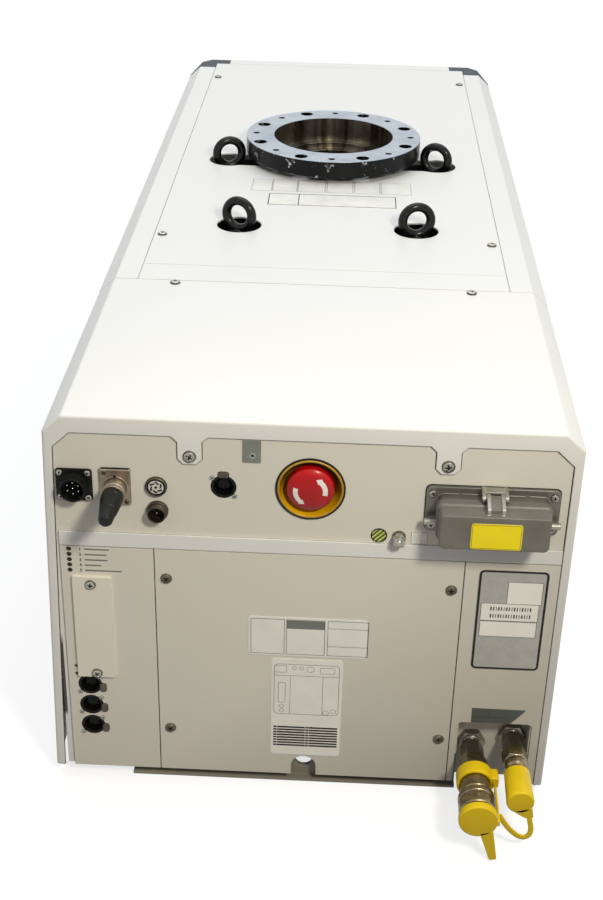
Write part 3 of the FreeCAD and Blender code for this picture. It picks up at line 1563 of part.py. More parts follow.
def shaft_bearings():
    """Outer rings, balls and cages of the four shaft bearings."""
    solids = []
    track = (journal_radius + bearing_wall + bearing_outer - bearing_wall) / 2
    for x, span in bearing_places():
        middle = (span[0] + span[1]) / 2
        outer = tube_y(x, shaft_height, span, bearing_outer, bearing_outer - bearing_wall)
        solids.append(outer)
        cage_y = (middle - cage_half, middle + cage_half)
        cage = tube_y(x, shaft_height, cage_y, track + cage_wall, track - cage_wall)
        ball = track - journal_radius - bearing_wall - ball_gap
        balls = []
        pockets = []
        for k in range(balls_per_bearing):
            turn = 2 * math.pi * k / balls_per_bearing
            out = Vector(math.cos(turn), 0, math.sin(turn))
            hub = Vector(x, middle, shaft_height)
            balls.append(Part.makeSphere(ball, hub + out * track))
            start = hub + out * (track - 1.5 * cage_wall)
            pockets.append(Part.makeCylinder(ball + ball_gap, 3 * cage_wall, start, out))
        solids.append(cage.cut(pockets))
        solids += balls
    return Part.makeCompound(solids)


def seals():
    """Lip seals in both end plates, and the round gasket under the inlet neck's foot."""
    rings = []
    for x in (drive_x, driven_x):
        for y in (chamber_front - 6 - seal_width, chamber_back + 6):
            rings.append(tube_y(x, shaft_height, (y, y + seal_width), seal_outer, shaft_radius + fit_gap))
    return Part.makeCompound(rings)


def winding_span():
    middle = (motor_front + bell_front) / 2
    return (middle - winding_length / 2, middle + winding_length / 2)


def motor_housing():
    """The canned motor's shell with its end wall, outside ribs and the winding pack inside."""
    y = (motor_front, bell_front)
    shell = tube_y(drive_x, shaft_height, y, motor_radius, motor_radius - motor_wall)
    end = bar_y(drive_x, shaft_height, (y[0], y[0] + 12), motor_radius)
    ribs = []
    for k in range(8):
        rib_y = (y[0] + 30 + 24 * k, y[0] + 38 + 24 * k)
        ribs.append(tube_y(drive_x, shaft_height, rib_y, motor_radius + 6, motor_radius - 2))
    pack = tube_y(drive_x, shaft_height, winding_span(), motor_radius - motor_wall, winding_inner)
    return Part.makeCompound([fuse([shell, end] + ribs), pack])


def motor_rotor():
    return tube_y(drive_x, shaft_height, winding_span(), motor_rotor_radius, journal_radius)


def eyebolt(x, y, base, turn):
    """A ring on a collar and a shank; the ring is turned about the upright axis."""
    centre = base + eye_collar_height + eye_outer - 1.0
    ring = Part.makeTorus(eye_outer - eye_wire, eye_wire, Vector(x, y, centre), Vector(0, 1, 0))
    collar = bar_z(x, y, (base, base + eye_collar_height + 2), eye_collar)
    shank = bar_z(x, y, (base - 24, base), eye_shank)
    bolt = fuse([ring, collar, shank])
    bolt.rotate(Vector(x, y, 0), Vector(0, 0, 1), turn)
    return bolt


def eyebolts():
    places = [(-front_eye[0], front_eye[1], front_boss_drop), (front_eye[0], front_eye[1], front_boss_drop)]
    places += [(-rear_eye[0], rear_eye[1], rear_boss_drop), (rear_eye[0], rear_eye[1], rear_boss_drop)]
    bolts = [eyebolt(x, front + y, top - drop, turn) for (x, y, drop), turn in zip(places, eye_turns)]
    return Part.makeCompound(bolts)


def valve_poppet():
    """The relief valve's disc and stem, resting on the seat."""
    vy = inlet_y + valve_back
    seat = valve_seat_height + valve_seat_wall
    disc = bar_z(valve_x, vy, (seat, seat + valve_disc), valve_bore - valve_gap)
    stem = bar_z(valve_x, vy, (seat + valve_disc - 1, seat + 60), valve_stem)
    return fuse([disc, stem])


def valve_spring():
    """A round-wire compression spring between the disc and the cap."""
    vy = inlet_y + valve_back
    low = valve_seat_height + valve_seat_wall + valve_disc + spring_wire
    high = casing_top - cap_depth - spring_wire
    rise = (high - low) / spring_turns
    helix = Part.makeHelix(rise, high - low, spring_radius)
    helix.translate(Vector(valve_x, vy, low))
    start = Vector(valve_x + spring_radius, vy, low)
    ring = Part.Wire(Part.makeCircle(spring_wire, start, Vector(0, 1, 0)))
    return Part.Wire(helix).makePipeShell([ring], True, True)


def drive_unit():
    """The inverter box of the motor, on four feet, with cooling ribs."""
    x = (-inner_wall + post_width + unit_left_gap, left_water[0] - unit_right_gap)
    y = (motor_front - unit_rear_gap - unit_depth, motor_front - unit_rear_gap)
    z = (rail_rise + unit_foot_height, top - unit_head_room)
    body = box(x, y, z)
    inset = unit_lid
    lid = box((x[0] + inset, x[1] - inset), (y[0] + inset, y[1] - inset), (z[1], z[1] + unit_lid))
    rail_middle = rail_gap / 2 + rail_width / 2
    wide, deep = unit_foot
    margin = unit_foot_margin
    feet = []
    for fx in (-rail_middle, rail_middle - margin):
        for fy in (y[0] + margin, y[1] - margin - deep):
            feet.append(box((fx - wide / 2, fx + wide / 2), (fy, fy + deep), (rail_rise, z[0] + 1)))
    out, thick = unit_rib
    pitch = (y[1] - y[0] - unit_rib_slack) / unit_ribs
    rib_z = (z[0] + unit_rib_margins[0], z[1] - unit_rib_margins[1])
    ribs = []
    for k in range(unit_ribs):
        rib = y[0] + unit_rib_start + pitch * k
        ribs.append(box((x[0] - out, x[0] + 1), (rib, rib + thick), rib_z))
    return fuse([body, lid] + feet + ribs)


def casing_bolts():
    """Bolts of the neck and the gear cover, the valve cap and the oil plugs, one solid each."""
    solids = []
    for x, y in on_circle((foot_radius + neck_radius) / 2, flange_holes, 0):
        z = casing_top + foot_thickness
        head = bar_z(x, y, (z, z + 8), 6.5)
        solids.append(fuse([head, bar_z(x, y, (casing_top - 12, z), 3.9)]))
    vy = inlet_y + valve_back
    cap = bar_z(valve_x, vy, (casing_top, casing_top + 6), valve_bore + 5)
    spigot = bar_z(valve_x, vy, (casing_top - cap_depth, casing_top), valve_bore - 0.1)
    solids.append(fuse([cap, spigot]))
    end = plate_back + gear_cover_length
    roof = shaft_height + 2 + 100.0
    filler = (-60.0, plate_back + 60.0)
    solids.append(fuse([bar_z(*filler, (roof, roof + 8), 14.0), bar_z(*filler, (roof - 8, roof), 9.9)]))
    drain = (0, shaft_height + 2 - 78.0)
    solids.append(fuse([bar_y(*drain, (end, end + 7), 11.0), bar_y(*drain, (end - 8, end), 7.9)]))
    glass = (90.0, shaft_height + 2 - 45.0)
    solids.append(fuse([bar_y(*glass, (end, end + 5), 18.0), bar_y(*glass, (end - 8, end), 13.9)]))
    return Part.makeCompound(solids)


def build():
    """Every sub-part by its node name."""
    parts = {
        "base_frame": base_frame(),
        "upper_frame": upper_frame(),
        "front_hood": front_hood(),
        "side_cover_right": side_cover(),
        "side_cover_left": mirror_x(side_cover()),
        "top_panel": top_panel(),
        "corner_guards": Part.makeCompound(both_sides(corner_guard())),
        "rear_panel": rear_panel(),
        "connector_panel": connector_panel(),
        "left_panel": left_panel(),
        "centre_panel": centre_panel(),
        "right_panel": right_panel(),
        "slot_cover": slot_cover(),
        "cover_screws": cover_screws(),
        "pin_socket": pin_socket_body(),
        "plug_socket": plug_socket_body(),
        "interlock_plug": interlock_plug(),
        "round_sockets": round_socket_bodies(),
        "latch_sockets": Part.makeCompound([latch_socket(k) for k in range(4)]),
        "stop_collar": stop_collar(),
        "stop_plunger": stop_plunger(),
        "stop_button": stop_button(),
        "earth_fittings": earth_fittings(),
        "power_socket": Part.makeCompound([power_socket_base(), hinge_rod()]),
        "power_insert": power_insert(),
        "power_lid": power_lid(),
        "status_lights": status_lights(),
        "blank_plates": blank_plates(),
        "water_pan": water_pan(),
        "water_fittings": water_fittings(),
        "coupling_sleeve": coupling_sleeve(),
        "dust_plug": dust_plug(),
        "dust_cap": dust_cap(),
        "plug_strap": plug_strap(),
        "cap_strap": cap_strap(),
        "cooling_hoses": cooling_hoses(),
        "stator": stator(),
        "inlet_flange": inlet_flange(),
        "front_end_plate": front_end_plate(),
        "rear_end_plate": rear_end_plate(),
        "gear_cover": gear_cover(),
        "drive_rotor": drive_rotor(),
        "driven_rotor": driven_rotor(),
        "drive_gear": timing_gear(drive_x),
        "driven_gear": timing_gear(driven_x),
        "shaft_bearings": shaft_bearings(),
        "drive_inner_rings": inner_ring(drive_x),
        "driven_inner_rings": inner_ring(driven_x),
        "shaft_seals": seals(),
        "motor_housing": motor_housing(),
        "motor_rotor": motor_rotor(),
        "eyebolts": eyebolts(),
        "valve_poppet": valve_poppet(),
        "valve_spring": valve_spring(),
        "drive_unit": drive_unit(),
        "casing_bolts": casing_bolts(),
    }
    for k, name in enumerate(("upper", "first", "second", "third")):
        parts["latch_tab_" + name] = latch_push_tab(k)
    return parts


def main():
    os.makedirs("parts", exist_ok=True)
    for name, shape in build().items():
        shape.exportStep("parts/" + name + ".step")


main()
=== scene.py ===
import math
from functools import cached_property
from types import SimpleNamespace

import bmesh
import bpy
import numpy as np
from bpy.props import FloatProperty, FloatVectorProperty, PointerProperty
from mathutils import Matrix, Vector


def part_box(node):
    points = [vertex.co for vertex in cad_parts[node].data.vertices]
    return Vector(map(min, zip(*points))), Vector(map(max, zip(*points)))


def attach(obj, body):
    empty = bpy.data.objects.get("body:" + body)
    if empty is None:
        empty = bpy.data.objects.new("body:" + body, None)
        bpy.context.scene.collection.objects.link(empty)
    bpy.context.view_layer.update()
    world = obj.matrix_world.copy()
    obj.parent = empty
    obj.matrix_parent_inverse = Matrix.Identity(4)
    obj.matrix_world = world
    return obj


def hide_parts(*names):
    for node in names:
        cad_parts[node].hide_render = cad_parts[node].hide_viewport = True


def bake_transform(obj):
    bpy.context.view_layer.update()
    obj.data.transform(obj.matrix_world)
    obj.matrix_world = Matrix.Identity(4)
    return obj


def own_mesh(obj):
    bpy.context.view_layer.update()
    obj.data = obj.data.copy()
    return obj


bl_info = {
    "name": "Vacuum booster pump looks",
    "version": (1, 0, 0),
    "blender": (4, 5, 0),
    "location": "3D View > Sidebar > Pump",
    "description": "Finishes, fittings and stage round the packed vacuum booster pump",
    "category": "Object",
}

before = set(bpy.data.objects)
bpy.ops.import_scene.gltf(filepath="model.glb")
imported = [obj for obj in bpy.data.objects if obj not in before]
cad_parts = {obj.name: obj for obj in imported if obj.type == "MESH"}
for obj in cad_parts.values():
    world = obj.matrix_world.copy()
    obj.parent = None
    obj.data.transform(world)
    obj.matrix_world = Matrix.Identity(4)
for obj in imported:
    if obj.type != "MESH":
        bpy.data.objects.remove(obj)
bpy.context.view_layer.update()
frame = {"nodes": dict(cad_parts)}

# Lengths in this script are millimetres; the scene's own unit is the metre.
MM = 0.001


def limits(node):
    """Lowest and highest corner of a CAD node, in millimetres."""
    low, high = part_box(node)
    return np.array(low) / MM, np.array(high) / MM


def middle(node):
    """The middle of a CAD node's box, in millimetres."""
    low, high = limits(node)
    return (low + high) / 2


def length(name, value, description):
    """A size property, given in millimetres and kept in metres."""
    return FloatProperty(name=name, description=description, default=value * MM, unit="LENGTH")


def colour(name, value, description):
    """A colour property, given as a screen shows it, from 0 to 255, and kept as linear light."""
    shown = np.array(value) / 255.0
    linear = np.where(shown <= 0.04045, shown / 12.92, ((shown + 0.055) / 1.055) ** 2.4)
    return FloatVectorProperty(
        name=name, description=description, default=linear.tolist(), size=3, subtype="COLOR", min=0, max=1
    )


def in_mm(group):
    """The lengths of a property group in millimetres, under the same names."""
    return SimpleNamespace(**{key: getattr(group, key) / MM for key in type(group).__annotations__})


class CaseSizes(bpy.types.PropertyGroup):
    """Sizes of the front hood's bent sheet."""

    sheet: length("Sheet", 2.0, "Thickness of the sheet metal")
    bend: length("Bend", 4.0, "Outer radius of the bends along the case")
    fold: length("Fold", 2.4, "Outer radius of the fold at the front edge")
    edge_run: length("Edge run", 17.0, "Width of the sloping edge, seen from the front")
    edge_drop: length("Edge drop", 15.5, "Height of the sloping edge")
    bezel_side: length("Bezel side", 8.0, "Width of the front flange at the sides")
    bezel_top: length("Bezel top", 16.5, "Height of the front flange at the top")
    corner_run: length("Corner run", 16.0, "Width of the cut corners of the opening")
    corner_drop: length("Corner drop", 15.0, "Height of the cut corners of the opening")
    tab_width: length("Tab width", 21.3, "Width of the two screw tabs")
    tab_drop: length("Tab drop", 43.6, "From the roof down to the end of a tab")
    tab_flare: length("Tab flare", 5.5, "Size of the flares where a tab starts")
    tab_cut: length("Tab cut", 5.0, "Size of the cut corners at the end of a tab")
    tab_left: length("Left tab", -106.6, "Middle of the left tab")
    tab_right: length("Right tab", 118.3, "Middle of the right tab")


class ScrewSizes(bpy.types.PropertyGroup):
    """Sizes and places of the pan-head screws."""

    head: length("Head", 4.7, "Radius of the heads on the covers")
    panel_head: length("Panel head", 4.6, "Radius of the heads on the centre panel")
    tab_head: length("Tab head", 5.1, "Radius of the heads in the hood's tabs")
    slot_head: length("Slot cover head", 4.4, "Radius of the heads on the slot cover")
    small_head: length("Small head", 2.9, "Radius of the heads on the sockets")
    power_head: length("Power head", 3.5, "Radius of the heads on the power socket")
    rise: length("Rise", 2.7, "Height of a head")
    tab_drop: length("Tab screw drop", 35.5, "From the roof down to the tab screws")
    roof_x: length("Roof screws", 185.0, "Distance of the roof screws from the middle")
    roof_front: length("Front roof screws", 440.0, "From the front back to the first roof screws")
    roof_back: length("Rear roof screws", 1116.0, "From the front back to the last roof screws")
    hood_x: length("Hood screws", 154.0, "Distance of the hood screws from the middle")
    hood_back: length("Hood screws back", 301.0, "From the front back to the hood screws")
    panel_x: length("Panel screws", 130.0, "Distance of the centre panel's screws from the middle")
    panel_high: length("Upper panel screws", 239.5, "Height of the centre panel's upper screws")
    panel_low: length("Lower panel screws", 64.7, "Height of the centre panel's lower screws")
    side_middle: length("Side screws", 331.0, "From the front back to the first screws in a side")
    side_back: length("Rear side screws", 1160.0, "From the front back to the last screws in a side")
    side_high: length("High side screw", 350.0, "Height of the first upper screw in a side")
    rear_high: length("Rear high side screw", 290.0, "Height of the last upper screw in a side")
    side_low: length("Low side screws", 60.0, "Height of the lower screws in a side")
    pin_pitch: length("Pin socket screws", 12.4, "Distance of the pin socket's screws from its middle")
    power_x: length("Power socket screws", 53.0, "Half the width between the power socket's screws")
    power_z: length("Power socket screw rows", 16.0, "Half the height between the power socket's screws")
    latch_x: length("Latch screws", 9.8, "Half the width between a latching socket's two screws")
    latch_z: length("Latch screw rows", 9.0, "Half the height between a latching socket's two screws")
    latch_head: length("Latch screw head", 2.2, "Radius of the heads on the latching sockets")


class EyeSizes(bpy.types.PropertyGroup):
    """Sizes of the four lifting eyes."""

    ring: length("Ring", 16.4, "Radius of the ring's middle line")
    wire: length("Wire", 5.6, "Radius of the ring's bar at its foot")
    wire_top: length("Wire at the top", 5.1, "Radius of the ring's bar at its top")
    collar: length("Collar", 12.0, "Radius of the collar")
    collar_height: length("Collar height", 4.5, "Height of the collar")
    front_x: length("Front eyes", 101.5, "Distance of the front eyes from the middle")
    front_y: length("Front eyes back", 479.0, "From the front back to the front eyes")
    front_base: length("Front eye base", 390.5, "Height of the front eyes' seats")
    rear_x: length("Rear eyes", 133.0, "Distance of the rear eyes from the middle")
    rear_y: length("Rear eyes back", 716.0, "From the front back to the rear eyes")
    rear_base: length("Rear eye base", 387.5, "Height of the rear eyes' seats")


class StopSizes(bpy.types.PropertyGroup):
    """Sizes of the emergency stop."""

    rim: length("Rim", 31.0, "Radius of the black rim")
    lip: length("Lip", 29.4, "Radius of the yellow lip")
    bowl: length("Bowl", 27.4, "Radius of the bowl's mouth")
    floor: length("Floor", 21.5, "Radius of the bowl's floor")
    depth: length("Depth", 15.5, "Depth of the bowl")
    stem: length("Stem", 8.3, "Radius of the hole for the stem")
    head: length("Head", 21.0, "Radius of the red head")
    crown: length("Crown", 4.6, "How far the head stands out of the case")
    skirt: length("Skirt", 9.5, "Depth of the head behind the front of the case")
    arrow: length("Arrow", 13.2, "Radius of the arrows' middle line")
    arrow_width: length("Arrow width", 4.3, "Width of an arrow's shaft")


class SocketSizes(bpy.types.PropertyGroup):
    """Sizes of the signal sockets and the interlock plug."""

    pin_flange: length("Pin flange", 32.5, "Width of the square flange")
    pin_shell: length("Pin shell", 11.8, "Outer radius of the pin socket's shell")
    pin_bore: length("Pin bore", 9.8, "Inner radius of the pin socket's shell")
    pin_reach: length("Pin reach", 12.0, "How far the shell stands out of the case")
    pin_circle: length("Pin circle", 5.6, "Radius of the circle of pins")
    plug_radius: length("Plug", 9.6, "Radius of the interlock plug's barrel")
    plug_start: length("Barrel", 10.6, "How far the barrel stands out of the case")
    boot_start: length("Boot ring", 29.0, "From the case to the boot's taper")
    plug_reach: length("Boot", 56.5, "From the case to the end of the boot's taper")
    round_radius: length("Round socket", 9.8, "Outer radius of the two round sockets")
    latch_radius: length("Latch socket", 11.2, "Outer radius of a latching socket")
    latch_bore: length("Latch bore", 8.6, "Inner radius of a latching socket")
    latch_depth: length("Latch depth", 9.0, "Depth of a latching socket's mouth")


class PowerSizes(bpy.types.PropertyGroup):
    """Sizes of the power socket and its lid."""

    base_wide: length("Base width", 118.5, "Width of the base plate")
    base_high: length("Base height", 47.0, "Height of the base plate")
    base_thick: length("Base thickness", 3.5, "Thickness of the base plate")
    collar_wide: length("Collar width", 98.0, "Width of the collar")
    collar_high: length("Collar height", 33.0, "Height of the collar")
    collar_deep: length("Collar depth", 12.0, "How far the collar stands out of the case")
    lid_gap: length("Lid gap", 0.4, "Between the collar and the lid")
    lid_deep: length("Lid depth", 24.0, "Depth of the lid")
    lid_wall: length("Lid wall", 3.0, "Wall of the lid")
    hinge_up: length("Hinge height", 21.0, "From the socket's middle up to the hinge")
    hinge_out: length("Hinge reach", 15.0, "From the case out to the hinge")
    pin: length("Hinge pin", 2.0, "Radius of the hinge pin")


class WaterSizes(bpy.types.PropertyGroup):
    """Sizes of the cooling water couplings and their yellow covers."""

    wall: length("Pan wall", -22.0, "The pan's face, from the front of the case outwards")
    nut: length("Bulkhead nut", 23.5, "Across the flats of the bulkhead nuts")
    nipple: length("Nipple", 7.6, "Radius of the threaded nipples")
    small_hex: length("Adapter", 19.5, "Across the flats of the adapters")
    large_hex: length("Union nut", 24.0, "Across the flats of the left union nut")
    body: length("Coupling body", 14.2, "Radius of the socket coupling")
    socket: length("Coupling bore", 9.0, "Radius of the socket coupling's bore")
    sleeve: length("Sleeve", 17.5, "Outer radius of the sliding sleeve")
    disc: length("Plug disc", 18.2, "Radius of the yellow plug's disc")
    ring: length("Strap ring", 17.5, "Outer radius of the strap's ring")
    cap: length("Cap", 13.0, "Radius of the yellow cap")
    strap: length("Strap width", 5.0, "Width of the yellow strap")


class PlateSizes(bpy.types.PropertyGroup):
    """Sizes of the thin bare plates and the lights."""

    film: length("Film", 0.5, "Thickness of the plates")
    print_height: length("Print", 0.03, "Height of the printed lines")
    light: length("Light", 2.2, "Radius of a status light")
    light_pitch: length("Light pitch", 5.75, "Distance between the status lights")
    digit: length("Digit", 4.4, "Height of the numbers beside the lights")


class SpringSizes(bpy.types.PropertyGroup):
    """Sizes of the relief valve's spring."""

    radius: length("Radius", 14.0, "Radius of the coils' middle line")
    wire: length("Wire", 1.5, "Radius of the wire")
    lift: length("Lift", 12.0, "How far the poppet lifts")


class FinishColours(bpy.types.PropertyGroup):
    """Colours of the finishes."""

    case: colour("Case", (239, 238, 236), "Powder coat of the case")
    panel: colour("Panels", (228, 224, 213), "Powder coat of the front panels")
    slot: colour("Slot cover", (240, 236, 221), "Powder coat of the slot cover")
    frame: colour("Frame", (150, 146, 134), "Paint of the base frame")
    guard: colour("Corner guards", (66, 73, 81), "Moulded corner guards")
    enamel: colour("Enamel", (9, 11, 11), "Black enamel of the lifting eyes and the flange rim")
    red: colour("Stop head", (206, 16, 22), "Red plastic of the stop head")
    yellow: colour("Stop bowl", (226, 172, 8), "Yellow of the stop bowl")
    cover: colour("Dust covers", (250, 214, 12), "Soft yellow of the dust covers")
    label: colour("Lid plate", (255, 232, 14), "Yellow plate on the power socket's lid")
    die_cast: colour("Die-cast enamel", (107, 105, 97), "Grey enamel of the power socket's lid")
    brass: colour("Brass", (160, 142, 104), "Aged brass of the water couplings")
    steel: colour("Flange steel", (186, 195, 204), "Turned steel of the inlet flange")


class StageSettings(bpy.types.PropertyGroup):
    """Camera and light levels."""

    camera_x: length("Camera X", 23.24, "Camera place to the right of the middle")
    camera_y: length("Camera Y", -1678.1, "Camera place along the case")
    camera_z: length("Camera Z", 984.5, "Camera height")
    lens: FloatProperty(name="Lens", description="Focal length for a 36 mm tall picture", default=57.298)
    pitch: FloatProperty(
        name="Pitch", description="Camera tilt down", default=math.radians(29.292), subtype="ANGLE"
    )
    yaw: FloatProperty(
        name="Yaw", description="Camera turn to the left", default=math.radians(1.7253), subtype="ANGLE"
    )
    roll: FloatProperty(name="Roll", description="Camera roll", default=math.radians(1.3956), subtype="ANGLE")
    key: FloatProperty(name="Key light", description="Power of the key light in watts", default=16.4)
    overhead: FloatProperty(name="Overhead", description="Power of the overhead light in watts", default=39.0)
    ambient: FloatProperty(name="Ambient", description="Strength of the room's light", default=0.36)


# Shapes

FACINGS = {
    "front": ((1, 0, 0), (0, 0, 1), (0, -1, 0)),
    "roof": ((1, 0, 0), (0, 1, 0), (0, 0, 1)),
    "right": ((0, 1, 0), (0, 0, 1), (1, 0, 0)),
    "left": ((0, -1, 0), (0, 0, 1), (-1, 0, 0)),
}


class Place:
    """A point with the directions right, up and outwards of someone who faces that side of the case."""

    def __init__(self, point, facing="front", turn=0.0):
        self.point = np.array(point, float)
        right, up, out = np.array(FACINGS[facing], float)
        c, s = math.cos(turn), math.sin(turn)
        self.axes = np.array([c * right + s * up, c * up - s * right, out])

    def __call__(self, right, up, out):
        """Points at these distances from the place, in metres: place + right r + up u + outwards o."""
        right, up, out = np.broadcast_arrays(right, up, out)
        return (self.point + np.stack([right, up, out], axis=-1) @ self.axes) * MM


def arcs(corners, radii, steps=4, closed=True):
    """A path through corners rounded by tangent arcs. With half the inner angle h, an arc of radius r has its
    centre r / sin h along the bisector and starts r / tan h from the corner. Radius 0 leaves a corner
    sharp."""
    corners = np.asarray(corners, float)
    radii = np.broadcast_to(np.asarray(radii, float), len(corners)).copy()
    if not closed:
        radii[[0, -1]] = 0
    towards = [np.roll(corners, step, axis=0) - corners for step in (1, -1)]
    before, after = [d / np.maximum(np.linalg.norm(d, axis=1, keepdims=True), 1e-9) for d in towards]
    half = np.arccos(np.clip((before * after).sum(1), -1, 1)) / 2
    half = np.maximum(half, 1e-3)
    bisector = before + after
    bisector /= np.maximum(np.linalg.norm(bisector, axis=1, keepdims=True), 1e-9)
    centre = corners + bisector * (radii / np.sin(half))[:, None]
    reach = (radii / np.tan(half))[:, None]
    start = corners + before * reach - centre
    end = corners + after * reach - centre
    sweep = np.pi - 2 * half
    share = np.linspace(0, 1, steps + 1)
    sine = np.where(sweep > 1e-4, np.sin(sweep), 1.0)[:, None]
    first = np.sin((1 - share) * sweep[:, None]) / sine
    last = np.sin(share * sweep[:, None]) / sine
    path = centre[:, None] + first[..., None] * start[:, None] + last[..., None] * end[:, None]
    path[radii == 0] = corners[radii == 0][:, None]
    return path.reshape(-1, corners.shape[1])


def set_in(corners, distance):
    """The corners of an outline, anticlockwise, set in by a distance d: each moves by d (m + n) / (1 + m.n),
    where m and n are the inward normals of its two sides."""
    after = np.roll(corners, -1, axis=0) - corners
    after /= np.linalg.norm(after, axis=1, keepdims=True)
    n = np.stack([-after[:, 1], after[:, 0]], axis=1)
    m = np.roll(n, 1, axis=0)
    return corners + distance * (m + n) / (1 + (m * n).sum(1, keepdims=True))


def outline(corners, radii, steps=4):
    """A rounded outline as a function of how far it is set in; outer corners tighten and inner ones open."""
    corners = np.asarray(corners, float)
    radii = np.broadcast_to(np.asarray(radii, float), len(corners))
    after = np.roll(corners, -1, axis=0) - corners
    before = np.roll(after, 1, axis=0)
    bulge = np.sign(before[:, 0] * after[:, 1] - before[:, 1] * after[:, 0])
    return lambda distance: arcs(
        set_in(corners, distance), np.maximum(radii - distance * bulge, 0.02) * (radii > 0), steps
    )


def circle(count):
    """Equal turns of a whole circle, in radians."""
    return 2 * np.pi * np.arange(count) / count


def tile(width, height, corner, x=0.0, z=0.0, steps=4):
    """A rounded rectangle round a point."""
    a, b = width / 2, height / 2
    return outline([(x - a, z - b), (x + a, z - b), (x + a, z + b), (x - a, z + b)], corner, steps)


def hexagon(across, count=72):
    """A hexagon with two flats level: half its width over the cosine of the turn from the nearest flat."""
    turns = circle(count)
    reach = 1 / np.cos(np.mod(turns, np.pi / 3) - np.pi / 6)
    return lambda distance: ((across / 2 - distance) * reach)[:, None] * np.stack(
        [np.cos(turns), np.sin(turns)], axis=1
    )


